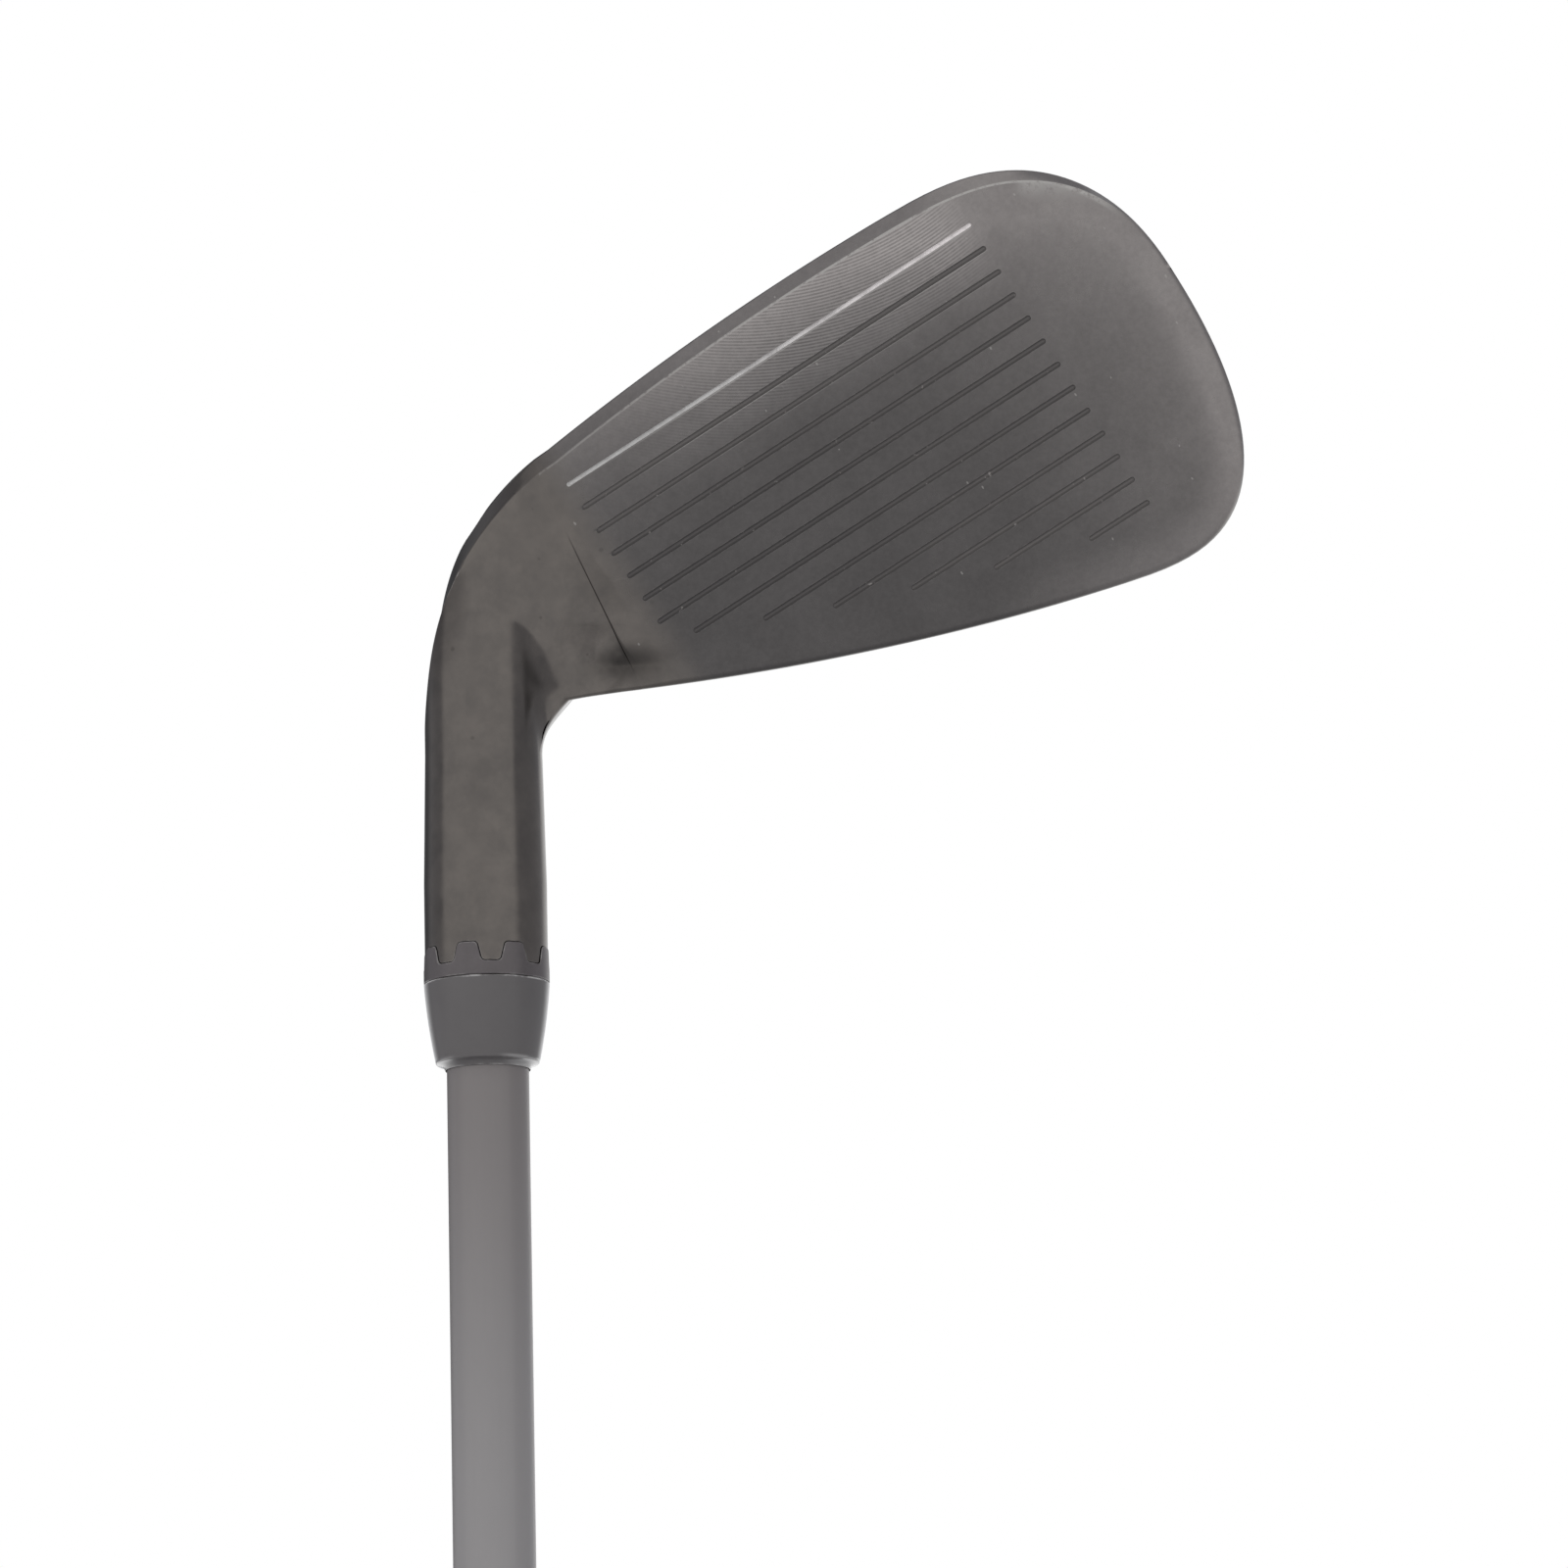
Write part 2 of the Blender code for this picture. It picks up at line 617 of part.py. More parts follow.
def make_grip(parts, parent):
    base = SHAFT_BASE
    top = GRIP_LENGTH
    neck = base + GRIP_NECK_LENGTH
    outer = [(GRIP_MOUTH_RADIUS - GRIP_MOUTH_EASE, top), (GRIP_MOUTH_RADIUS, top - GRIP_MOUTH_EASE)]
    outer.append((GRIP_NECK_RADIUS, neck))
    for x in spread(0.0, 1.0, CURVE_STEPS)[1:]:
        flare = GRIP_NECK_RADIUS + (GRIP_CAP_RADIUS - GRIP_NECK_RADIUS) * x * x
        outer.append((flare, neck - GRIP_NECK_LENGTH * x))
    clear = TAPE_THICKNESS + 2 * BOND_GAP
    inner = [(shaft_radius(h) + clear, h) for h in (top, base)]
    turned("grip_sleeve", tube_profile(outer, inner), parts, parent)
    ends = (top - TAPE_MARGIN, base + SEAT_GAP)
    outer = [(shaft_radius(h) + BOND_GAP + TAPE_THICKNESS, h) for h in ends]
    inner = [(shaft_radius(h) + BOND_GAP, h) for h in ends]
    turned("grip_tape", tube_profile(outer, inner), parts, parent)
    cap = [(GRIP_CAP_RADIUS, GRIP_CAP_HEIGHT)]
    cap += list(reversed(eased(GRIP_CAP_RADIUS, 0.0, GRIP_CAP_EASE)))
    hole = [(GRIP_VENT_RADIUS, GRIP_CAP_HEIGHT), (GRIP_VENT_RADIUS, 0.0)]
    turned("grip_cap", tube_profile(cap, hole), parts, parent)


def make_adapter(parts, cutters, parent):
    outer = [
        (ADAPTER_END_RADIUS, ADAPTER_TOP),
        (ADAPTER_END_RADIUS, ADAPTER_SHOULDER),
        (ADAPTER_RADIUS, ADAPTER_SHOULDER),
        (ADAPTER_RADIUS, TOOTH_HEIGHT),
        (COLLAR_RADIUS, TOOTH_HEIGHT),
        (COLLAR_RADIUS, -COLLAR_HEIGHT),
    ]
    inner = [
        (THREAD_BORE, ADAPTER_TOP),
        (THREAD_BORE, SHAFT_STOP),
        (ADAPTER_BORE, SHAFT_STOP),
        (ADAPTER_BORE, -COLLAR_HEIGHT),
    ]
    adapter = turned("adapter_sleeve", tube_profile(outer, inner), parts, parent)
    pitch = 2 * math.pi / TOOTH_COUNT
    # a gap is what the pitch leaves beside a tooth, measured on the collar's wall
    chord = 2 * COLLAR_RADIUS * math.sin(pitch / 2)
    over = SEAT_GAP
    slope = (TOOTH_ROOT_WIDTH - TOOTH_TIP_WIDTH) / TOOTH_HEIGHT
    gaps = tooth_prisms("collar_gaps", math.radians(TOOTH_TURN) + pitch / 2,
                        chord - TOOTH_TIP_WIDTH + slope * over, chord - TOOTH_ROOT_WIDTH,
                        0.0, TOOTH_HEIGHT + over, ADAPTER_BORE, COLLAR_RADIUS + BOND_GAP,
                        cutters, parent)
    band = as_cutter(turned("collar_band", ring_profile(ADAPTER_RADIUS + BOND_GAP / 2, 2 * COLLAR_RADIUS,
                                                        -COLLAR_HEIGHT, 2 * TOOTH_HEIGHT), cutters, parent))
    boolean(gaps, band, "INTERSECT")
    boolean(adapter, gaps)


def make_ferrule(parts, parent):
    top = FERRULE_TOP
    base = top - FERRULE_LENGTH
    bore = SHAFT_TIP_RADIUS + BOND_GAP
    outer = []
    for x in spread(0.0, 1.0, CURVE_STEPS):
        radius = COLLAR_RADIUS - FERRULE_TAPER * x + 4 * FERRULE_BULGE * x * (1 - x)
        outer.append((radius, top - (FERRULE_LENGTH - FERRULE_CHAMFER) * x))
    end_radius = COLLAR_RADIUS - FERRULE_TAPER - FERRULE_CHAMFER
    outer.append((end_radius, base))
    outer.append((bore + FERRULE_LIP_WALL, base))
    outer.append((bore + FERRULE_LIP_WALL / 2, base - FERRULE_LIP_LENGTH))
    inner = [(bore, top), (bore, base - FERRULE_LIP_LENGTH)]
    turned("ferrule", tube_profile(outer, inner), parts, parent)


def make_bolt(parts, cutters, parent):
    top = BOLT_HEAD_BASE + BOLT_HEAD_HEIGHT
    profile = [(0, top), (BOLT_HEAD_RADIUS - BOLT_HEAD_EASE, top)]
    profile.append((BOLT_HEAD_RADIUS, top - BOLT_HEAD_EASE))
    profile += [(BOLT_HEAD_RADIUS, BOLT_HEAD_BASE), (BOLT_RADIUS, BOLT_HEAD_BASE)]
    profile += [(BOLT_RADIUS, BOLT_TIP + BOLT_HEAD_EASE), (BOLT_RADIUS - BOLT_HEAD_EASE, BOLT_TIP)]
    profile.append((0, BOLT_TIP))
    bolt = turned("hosel_bolt", profile, parts, parent, closed=False)
    socket = cylinder_cutter("bolt_socket", BOLT_SOCKET_RADIUS, top - BOLT_SOCKET_DEPTH,
                             top + BOLT_SOCKET_DEPTH, Matrix.Identity(4), 6, cutters, parent)
    boolean(bolt, socket)


def ring_profile(inner, outer, base, top):
    return [(outer, top), (outer, base), (inner, base), (inner, top)]


def make_bolt_rings(parts, parent):
    hole = BOLT_RADIUS + TURN_GAP
    turned("bolt_washer", ring_profile(hole, BOLT_HEAD_RADIUS, WASHER_BASE, WASHER_BASE + WASHER_THICKNESS),
           parts, parent)
    turned("bolt_retainer", ring_profile(hole, END_BORE - BOND_GAP, RETAINER_BASE,
                                         RETAINER_BASE + RETAINER_THICKNESS), parts, parent)


def make_head(parts, cutters, parent):
    envelope = head_envelope()
    body = new_object("head_body", envelope, parts, parent)
    cup = new_object("face_cup", envelope.copy(), parts, parent)
    tilt = math.radians(SEAM_TILT)
    far = 2 * TOE_REACH
    block_low = (SEAM_START, -SOLE_DEPTH, -SEAM_DEPTH)
    block_high = (far, far, SEAM_DEPTH)
    cup_block = face_block("cup_block", block_low, block_high, cutters, parent, tilt)
    grown_low = (SEAM_START - SEAT_GAP, -SOLE_DEPTH, -SEAM_DEPTH)
    grown_high = (far, far, SEAM_DEPTH + SEAT_GAP)
    cup_space = face_block("cup_space", grown_low, grown_high, cutters, parent, tilt)
    cup_cavity = as_cutter(new_object("cup_cavity", cavity_mesh("cavity", 0.0), cutters, parent))
    # the port's boss belongs to the body alone
    cavity = as_cutter(new_object("cavity", cup_cavity.data, cutters, parent))
    port_frame = FACE_FRAME @ Matrix.Translation((PORT_ALONG, PORT_HEIGHT, 0))
    boss = cylinder_cutter("port_boss", PORT_RADIUS + TURN_GAP + PORT_BOSS_WALL,
                           port_seat() - PORT_BOSS_LENGTH, SOLE_DEPTH, port_frame,
                           ROUND_STEPS, cutters, parent)
    boolean(cavity, boss)
    bore = as_cutter(turned("hosel_bore", [
        (0, BOLT_HEAD_BASE + POCKET_REACH), (POCKET_RADIUS, BOLT_HEAD_BASE + POCKET_REACH),
        (POCKET_RADIUS, WEB_TOP), (THREAD_BORE, WEB_TOP),
        (THREAD_BORE, WEB_BASE), (END_BORE, WEB_BASE),
        (END_BORE, ADAPTER_SHOULDER + SEAT_GAP), (HOSEL_BORE, ADAPTER_SHOULDER + SEAT_GAP),
        (HOSEL_BORE, -COLLAR_HEIGHT), (0, -COLLAR_HEIGHT),
    ], cutters, parent, closed=False))
    slope = (TOOTH_ROOT_WIDTH - TOOTH_TIP_WIDTH) / TOOTH_HEIGHT
    notches = tooth_prisms("hosel_notches", math.radians(TOOTH_TURN),
                           TOOTH_TIP_WIDTH + 2 * SEAT_GAP - slope * SEAT_GAP,
                           TOOTH_ROOT_WIDTH + 2 * SEAT_GAP + slope * COLLAR_HEIGHT,
                           -COLLAR_HEIGHT, TOOTH_HEIGHT + SEAT_GAP, ADAPTER_BORE,
                           COLLAR_RADIUS + BOND_GAP, cutters, parent)
    port = as_cutter(turned("port_bore", [
        (0, SOLE_DEPTH), (PORT_RADIUS + PORT_HEAD_WALL + TURN_GAP, SOLE_DEPTH),
        (PORT_RADIUS + PORT_HEAD_WALL + TURN_GAP, port_seat()), (PORT_RADIUS + TURN_GAP, port_seat()),
        (PORT_RADIUS + TURN_GAP, FACE_WALL), (0, FACE_WALL),
    ], cutters, parent, closed=False))
    port.matrix_local = port_frame
    for cutter in (cup_space, cavity, bore, notches, port):
        boolean(body, cutter)
    boolean(cup, cup_block, "INTERSECT")
    boolean(cup, cup_cavity)
    boolean(cup, score_cutter(cutters, parent))


def port_seat():
    # depth behind the face at which the port screw's head lands
    low, high, full = outline(PORT_ALONG, TOE_REACH)
    scale = sole_depth(PORT_ALONG, full) / SOLE_DEPTH
    muscle_height = low + MUSCLE_HEIGHT * full
    muscle_depth = TOPLINE_DEPTH + (MUSCLE_DEPTH - TOPLINE_DEPTH) * scale
    share = (PORT_HEIGHT - muscle_height) / (high - muscle_height)
    surface = muscle_depth + (TOPLINE_DEPTH - muscle_depth) * share
    return surface - PORT_HEAD_HEIGHT - PORT_HEAD_WALL


def make_port_screw(parts, cutters, parent):
    seat = port_seat() + SEAT_GAP
    head = PORT_RADIUS + PORT_HEAD_WALL
    top = seat + PORT_HEAD_HEIGHT
    base = port_seat() - PORT_BOSS_LENGTH + SEAT_GAP
    screw = turned("port_screw", [
        (0, top), (head, top), (head, seat), (PORT_RADIUS, seat), (PORT_RADIUS, base), (0, base),
    ], parts, parent, closed=False)
    frame = FACE_FRAME @ Matrix.Translation((PORT_ALONG, PORT_HEIGHT, 0))
    screw.matrix_local = frame
    socket = cylinder_cutter("port_socket", PORT_SLOT_RADIUS, top - PORT_SLOT_DEPTH, top + PORT_SLOT_DEPTH,
                             frame, 6, cutters, parent)
    boolean(screw, socket)


def make_core(parts, cutters, parent):
    core = new_object("core_filler", cavity_mesh("core_filler", SEAT_GAP), parts, parent)
    weight = new_object("toe_weight", cavity_mesh("toe_weight", SEAT_GAP), parts, parent)
    far = 2 * TOE_REACH
    weight_block = face_block("weight_block", (WEIGHT_START, -SOLE_DEPTH, -SEAM_DEPTH),
                              (far, WEIGHT_HEIGHT, far), cutters, parent)
    weight_space = face_block("weight_space", (WEIGHT_START - SEAT_GAP, -SOLE_DEPTH, -SEAM_DEPTH),
                              (far, WEIGHT_HEIGHT + SEAT_GAP, far), cutters, parent)
    frame = FACE_FRAME @ Matrix.Translation((PORT_ALONG, PORT_HEIGHT, 0))
    boss_space = cylinder_cutter("boss_space", PORT_RADIUS + 2 * TURN_GAP + PORT_BOSS_WALL,
                                 port_seat() - PORT_BOSS_LENGTH - SEAT_GAP, SOLE_DEPTH, frame,
                                 ROUND_STEPS, cutters, parent)
    boolean(weight, weight_block, "INTERSECT")
    boolean(core, weight_space)
    boolean(core, boss_space)


FINISHES = {
    "head_body": ((0.075, 0.070, 0.066), 0.38, 0.9),
    "face_cup": ((0.085, 0.081, 0.079), 0.42, 0.9),
    "toe_weight": ((0.36, 0.35, 0.34), 0.45, 1.0),
    "core_filler": ((0.30, 0.31, 0.33), 0.75, 0.0),
    "port_screw": ((0.11, 0.11, 0.11), 0.35, 0.9),
    "hosel_bolt": ((0.16, 0.16, 0.17), 0.35, 1.0),
    "bolt_washer": ((0.55, 0.55, 0.56), 0.35, 1.0),
    "bolt_retainer": ((0.70, 0.69, 0.66), 0.60, 0.0),
    "adapter_sleeve": ((0.105, 0.100, 0.100), 0.45, 0.8),
    "ferrule": ((0.100, 0.096, 0.096), 0.48, 0.0),
    "shaft": ((0.240, 0.225, 0.220), 0.40, 0.3),
    "tip_plug": ((0.62, 0.47, 0.32), 0.80, 0.0),
    "grip_tape": ((0.75, 0.72, 0.64), 0.85, 0.0),
    "grip_sleeve": ((0.025, 0.025, 0.026), 0.80, 0.0),
    "grip_cap": ((0.030, 0.030, 0.031), 0.65, 0.0),
}


def main():
    clear_scene()
    parts = new_collection("iron_golf_club")
    cutters = new_collection("cutters")
    seat = bpy.data.objects.new("collar_seat", None)
    seat.location = (0, 0, SEAT_HEIGHT)
    parts.objects.link(seat)
    make_shaft(parts, None)
    make_tip_plug(parts, None)
    make_grip(parts, None)
    make_adapter(parts, cutters, seat)
    make_ferrule(parts, seat)
    make_bolt(parts, cutters, seat)
    make_bolt_rings(parts, seat)
    make_head(parts, cutters, seat)
    make_port_screw(parts, cutters, seat)
    make_core(parts, cutters, seat)
    for name, (colour, roughness, metallic) in FINISHES.items():
        bpy.data.objects[name].data.materials.append(new_material(name, colour, roughness, metallic))


main()
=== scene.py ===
from math import atan2, cos, degrees, exp, hypot, pi, radians, sin, sqrt, tan

import bmesh
import bpy
from mathutils import Matrix, Vector
from mathutils.kdtree import KDTree


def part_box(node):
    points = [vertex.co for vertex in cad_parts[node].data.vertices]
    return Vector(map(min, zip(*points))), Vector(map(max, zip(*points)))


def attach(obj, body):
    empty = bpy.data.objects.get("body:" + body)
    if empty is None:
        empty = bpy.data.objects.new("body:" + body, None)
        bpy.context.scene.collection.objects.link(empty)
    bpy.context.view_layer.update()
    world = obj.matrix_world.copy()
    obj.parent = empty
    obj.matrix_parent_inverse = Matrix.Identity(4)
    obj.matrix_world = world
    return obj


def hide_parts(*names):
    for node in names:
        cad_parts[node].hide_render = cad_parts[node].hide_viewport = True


# Looks of an iron golf club that stands on the butt of its grip, head up, face towards -Y.
# Metres throughout; colours are linear.

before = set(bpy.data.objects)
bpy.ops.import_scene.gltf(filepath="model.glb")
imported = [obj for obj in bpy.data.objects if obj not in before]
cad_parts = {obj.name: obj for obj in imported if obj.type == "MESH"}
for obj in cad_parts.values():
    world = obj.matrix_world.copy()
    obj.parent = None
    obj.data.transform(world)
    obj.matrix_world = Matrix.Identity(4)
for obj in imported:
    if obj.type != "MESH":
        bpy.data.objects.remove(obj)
scene = bpy.context.scene
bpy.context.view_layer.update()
print("frame loaded:", len(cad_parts), "nodes")

gaps = dict(seat=0.0003, bond=0.00015, turn=0.0003)  # as the solids keep them
rimGap = 0.00005  # between the teeth, as seen
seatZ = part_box("head_body")[0].z - gaps["seat"]  # the collar's seat under the hosel
hoselRadius = -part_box("head_body")[0].x
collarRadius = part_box("adapter_sleeve")[1].x


# small sums

easeLimit = 0.45  # most of a run that one corner's ease takes
cornerShare = 0.3  # of an ease, where its middle point lies
cutOver = 0.001  # how far a cutter runs past the metal


def smoothStep(x):
    x = min(1.0, max(0.0, x))
    return x * x * (3 - 2 * x)


def ramp(x, low, high):
    return smoothStep((x - low) / (high - low))


def mix(first, second, share):
    return first + (second - first) * share


def softMin(a, b, width):
    overlap = max(width - abs(a - b), 0.0) / width
    return min(a, b) - overlap * overlap * width / 4


def steps(start, end, count):
    return [start + (end - start) * i / count for i in range(count + 1)]


def quarter(count):
    # (sine, what the cosine lacks of 1) round a quarter turn
    return [(sin(a), 1 - cos(a)) for a in steps(0, pi / 2, count)]


def easedPath(corners):
    # corners of (across, up, ease, arc steps, run steps); the two ends only steer
    points = []
    run = 1
    for before, here, after in zip(corners, corners[1:], corners[2:]):
        spot = Vector(here[:2])
        back = Vector(before[:2]) - spot
        ahead = Vector(after[:2]) - spot
        ease = min(here[2], easeLimit * back.length, easeLimit * ahead.length)
        first = spot + back.normalized() * ease
        last = spot + ahead.normalized() * ease
        arc = [first * (1 - x) ** 2 + spot * (2 * x * (1 - x)) + last * x * x
               for x in steps(0, 1, here[3])]
        if points:
            points += [points[-1].lerp(arc[0], k / run) for k in range(1, run)]
        points += arc
        run = here[4]
    return points


# mesh work

def loft(bm, rings, closed=False):
    loops = []
    for points in rings:
        ring = bmesh.ops.create_circle(bm, segments=len(points), radius=1.0)["verts"]
        for vert, point in zip(ring, points):
            vert.co = point
        loops.append(list(dict.fromkeys(edge for vert in ring for edge in vert.link_edges)))
    following = loops[1:] + loops[:1] if closed else loops[1:]
    for first, second in zip(loops, following):
        bmesh.ops.bridge_loops(bm, edges=first + second)
    return loops


def turned(profile, segments, closed=True, base=0.0):
    bm = bmesh.new()
    verts = [bm.verts.new((radius, 0, base + height)) for radius, height in profile]
    edges = [bm.edges.new(pair) for pair in zip(verts, verts[1:])]
    if closed:
        edges.append(bm.edges.new((verts[-1], verts[0])))
    bmesh.ops.spin(bm, geom=verts + edges, cent=(0, 0, 0), axis=(0, 0, 1), angle=2 * pi,
                   steps=segments, use_merge=True)
    bmesh.ops.remove_doubles(bm, verts=bm.verts, dist=1e-6)
    return bm


def capEnds(bm, loops):
    for edges in (loops[0], loops[-1]):
        faces = bmesh.ops.edgeloop_fill(bm, edges=edges)["faces"]
        bmesh.ops.triangulate(bm, faces=faces)


def slicePlane(bm, spot, way, **more):
    geom = bm.verts[:] + bm.edges[:] + bm.faces[:]
    bmesh.ops.bisect_plane(bm, geom=geom, plane_co=spot, plane_no=way, **more)


def meshObject(name, bm, *materials):
    bmesh.ops.recalc_face_normals(bm, faces=bm.faces)
    mesh = bpy.data.meshes.new(name)
    bm.to_mesh(mesh)
    bm.free()
    for material in materials:
        mesh.materials.append(material)
    made = bpy.data.objects.new(name, mesh)
    scene.collection.objects.link(made)
    return made


def carve(piece, cutter):
    # cuts at once, so no cutter is left over
    modifier = piece.modifiers.new("carve", "BOOLEAN")
    modifier.operation = "DIFFERENCE"
    modifier.object = cutter
    modifier.solver = "EXACT"
    modifier.material_mode = "TRANSFER"
    graph = bpy.context.evaluated_depsgraph_get()
    old = piece.data
    piece.data = bpy.data.meshes.new_from_object(piece.evaluated_get(graph))
    piece.data.name = old.name
    piece.modifiers.clear()
    bpy.data.meshes.remove(old)
    bpy.data.objects.remove(cutter)


def seatPiece(piece, body, node, sharp=38.0):
    piece.data.shade_smooth()
    piece.data.set_sharp_from_angle(angle=radians(sharp))
    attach(piece, body)
    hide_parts(node)
    print("made", piece.name, len(piece.data.polygons), "faces")


# node work: a Value is a node's output, so that sums of them read as sums

class Value:
    def __init__(self, output):
        self.output, self.tree = output, output.id_data

    def __add__(self, other):
        return calc("ADD", self, other)

    def __sub__(self, other):
        return calc("SUBTRACT", self, other)

    def __rsub__(self, other):
        return calc("SUBTRACT", other, self)

    def __mul__(self, other):
        return calc("MULTIPLY", self, other)

    def __truediv__(self, other):
        return calc("DIVIDE", self, other)


def fill(sockets, values):
    for name, value in values.items():
        if isinstance(value, Value):
            value.tree.links.new(value.output, sockets[name])
        else:
            sockets[name].default_value = value


def put(tree, kind, inputs=None, output=0, **settings):
    made = tree.nodes.new("ShaderNode" + kind)
    for name, value in settings.items():
        setattr(made, name, value)
    fill(made.inputs, inputs or {})
    return Value(made.outputs[output])


def take(kind, inputs, output=0, **settings):
    # a node in the tree of the first output that it is linked to
    tree = next(value.tree for value in inputs.values() if isinstance(value, Value))
    return put(tree, kind, inputs, output, **settings)


def calc(operation, *values, clamp=False):
    return take("Math", dict(enumerate(values)), operation=operation, use_clamp=clamp)


def vector(operation, *values, output=0):
    return take("VectorMath", dict(enumerate(values)), output, operation=operation)


def largest(first, *others):
    for other in others:
        first = calc("MAXIMUM", first, other)
    return first


def siblings(value):
    # all outputs of the node that gives this one
    return {output.name: Value(output) for output in value.output.node.outputs}


def parts(place):
    return list(siblings(take("SeparateXYZ", {0: place})).values())


def blend(factor, first, second, mode="MIX"):
    return take("Mix", {0: factor, 6: first, 7: second}, 2, data_type="RGBA", blend_type=mode)


def between(value, low, high):
    # 0 below low, 1 above high, eased in the middle
    return take("MapRange", {"Value": value, "From Min": low, "From Max": high},
                interpolation_type="SMOOTHSTEP")


def within(value, rise, fall):
    return between(value, *rise) * between(value, *fall)


def spread(value, low, high):
    # 0 to 1 stretched over low to high
    return take("MapRange", {"Value": value, "To Min": low, "To Max": high})


def noise(place, scale, detail=4.0, roughness=0.55):
    return take("TexNoise", {"Vector": place, "Scale": scale, "Detail": detail, "Roughness": roughness})


def bump(height, strength, distance):
    return take("Bump", {"Height": height, "Strength": strength, "Distance": distance})


def useGroup(group, *values):
    return take("Group", dict(enumerate(values)), node_tree=group)


def colour(*rgb):
    return (*rgb, 1.0)


def grey(level):
    return colour(level, level, level)


def newGroup(name, output, **inputs):
    # a vector and some numbers in, one number out
    tree = bpy.data.node_groups.new(name, "ShaderNodeTree")
    tree.interface.new_socket("Vector", in_out="INPUT", socket_type="NodeSocketVector")
    for label, value in inputs.items():
        label = label.replace("_", " ")
        made = tree.interface.new_socket(label, in_out="INPUT", socket_type="NodeSocketFloat")
        made.default_value = value
    tree.interface.new_socket(output, in_out="OUTPUT", socket_type="NodeSocketFloat")
    given = [Value(socket) for socket in tree.nodes.new("NodeGroupInput").outputs][:-1]
    return tree, tree.nodes.new("NodeGroupOutput").inputs, given


def edgeWearGroup():
    tree, out, given = newGroup("edgeWear", "Mask", Radius=0.0003, Reach=6.0, Patch_Scale=300.0)
    place, radius, reach, scale = given
    rounded = put(tree, "Bevel", {"Radius": radius}, samples=6)
    plain = put(tree, "NewGeometry", output="Normal")
    turn = vector("DOT_PRODUCT", rounded, plain, output="Value")
    edge = calc("MULTIPLY", 1.0 - turn, reach, clamp=True)
    fill(out, {"Mask": edge * between(noise(place, scale), 0.40, 0.62)})
    return tree


def mottleGroup():
    tree, out, (place, scale, low, high) = newGroup("mottle", "Value", Scale=120.0, Low=0.35, High=0.65)
    both = noise(place, scale, 3.0) * 0.7 + noise(place, scale * 4.7, 5.0) * 0.3
    fill(out, {"Value": take("MapRange", {"Value": both, "From Min": low, "From Max": high})})
    return tree


def nickGroup():
    # rare short marks, longer one way than the other
    tree, out, (place, scale, share, size) = newGroup("nicks", "Mask", Scale=160.0, Share=0.06, Size=0.10)
    bent = vector("MULTIPLY", place, (1.0, 0.55, 1.0))
    cells = siblings(take("TexVoronoi", {"Vector": bent, "Scale": scale}))
    chosen = calc("LESS_THAN", take("SeparateColor", {0: cells["Color"]}), share)
    wobble = noise(place, scale * 6.0) * 0.12
    fill(out, {"Mask": chosen * calc("LESS_THAN", cells["Distance"] + wobble, size + 0.05)})
    return tree


edgeWear = edgeWearGroup()
mottle = mottleGroup()
nicks = nickGroup()


def newMaterial(name, roughness=0.4, metallic=0.0, **more):
    material = bpy.data.materials.new(name)
    material.use_nodes = True
    shader = material.node_tree.nodes["Principled BSDF"]
    wire(shader, Roughness=roughness, Metallic=metallic, **more)
    return material, shader, put(material.node_tree, "TexCoord", output="Object")


def wire(shader, **values):
    fill(shader.inputs, {name.replace("_", " "): value for name, value in values.items()})


# the head's outline and section, both square to the face

head = dict(
    lie=60.0, loft=20.0,  # degrees
    faceForward=0.0053, edgeReach=0.05615,  # leading edge from the collar's seat
    edgeLowest=0.043, edgeCamber=0.322, heelReliefStart=0.008, heelReliefRadius=0.032,
    toeReach=0.0811, toeStart=0.057, toeMid=0.0228, toeFullness=2.9, toeRoundness=2.3, toeTip=0.6,
    toplineHeel=0.0292, toplineToe=0.0509, toplineBow=0.0016, crotchStart=0.0020, crotchEase=0.022,
    bevelHeight=0.0017, bevelDepth=0.0011, bevelHeelDepth=0.0026, bevelThins=(-0.002, 0.010),
    bevelEase=0.00020, edgeEase=0.0008, soleEdgeEase=0.0003,
    toplineDepth=0.0070, toplineEase=0.0022, muscleHeight=0.0190, muscleDepth=0.0125, muscleEase=0.0070,
    soleDepth=0.0195, soleHeelDepth=0.0140, soleToeDepth=0.0115, soleRise=0.0060, soleEase=0.0045,
    soleMidDepth=0.0090, soleMidRise=0.0014, soleMidHold=2.5, forwardReach=1.2,
    # the face falls away round the toe
    rollDepth=0.00055, rollWidth=0.0060, rollStart=0.040, rollFull=0.062,
    rimDrop=0.00045, rimWidth=0.0011, rimStart=0.066, rimFull=0.073, toeDraft=0.10,
    hoselLength=0.0250, hoselTop=0.0220, neckLoss=0.0003, neckStart=0.010,
    crotchRadius=0.0066, bendTurn=50.0,
    # heel flat, against the hosel's front
    plateLean=38.0, plateLeanHigh=20.0, leanStart=0.038, leanEnd=0.050,
    flankLean=82.0, flankLeanHigh=58.0, flankEnd=0.033,
    crotchTop=0.0403, crotchFall=0.37, crotchFillet=0.0012,
    heelBlend=0.0012, heelBlendGrowth=0.0045, blendGrows=(-0.0055, -0.0010),
    heelRetreat=0.0022, retreatStart=0.034, retreatEnd=0.054,
    ringPoints=210, crowding=0.75, toeRings=34, bladeRings=26, heelRings=26, bendRings=40, hoselRings=5,
    rimSteps=60, rimStations=2400, lowRimFrom=0.86,
)

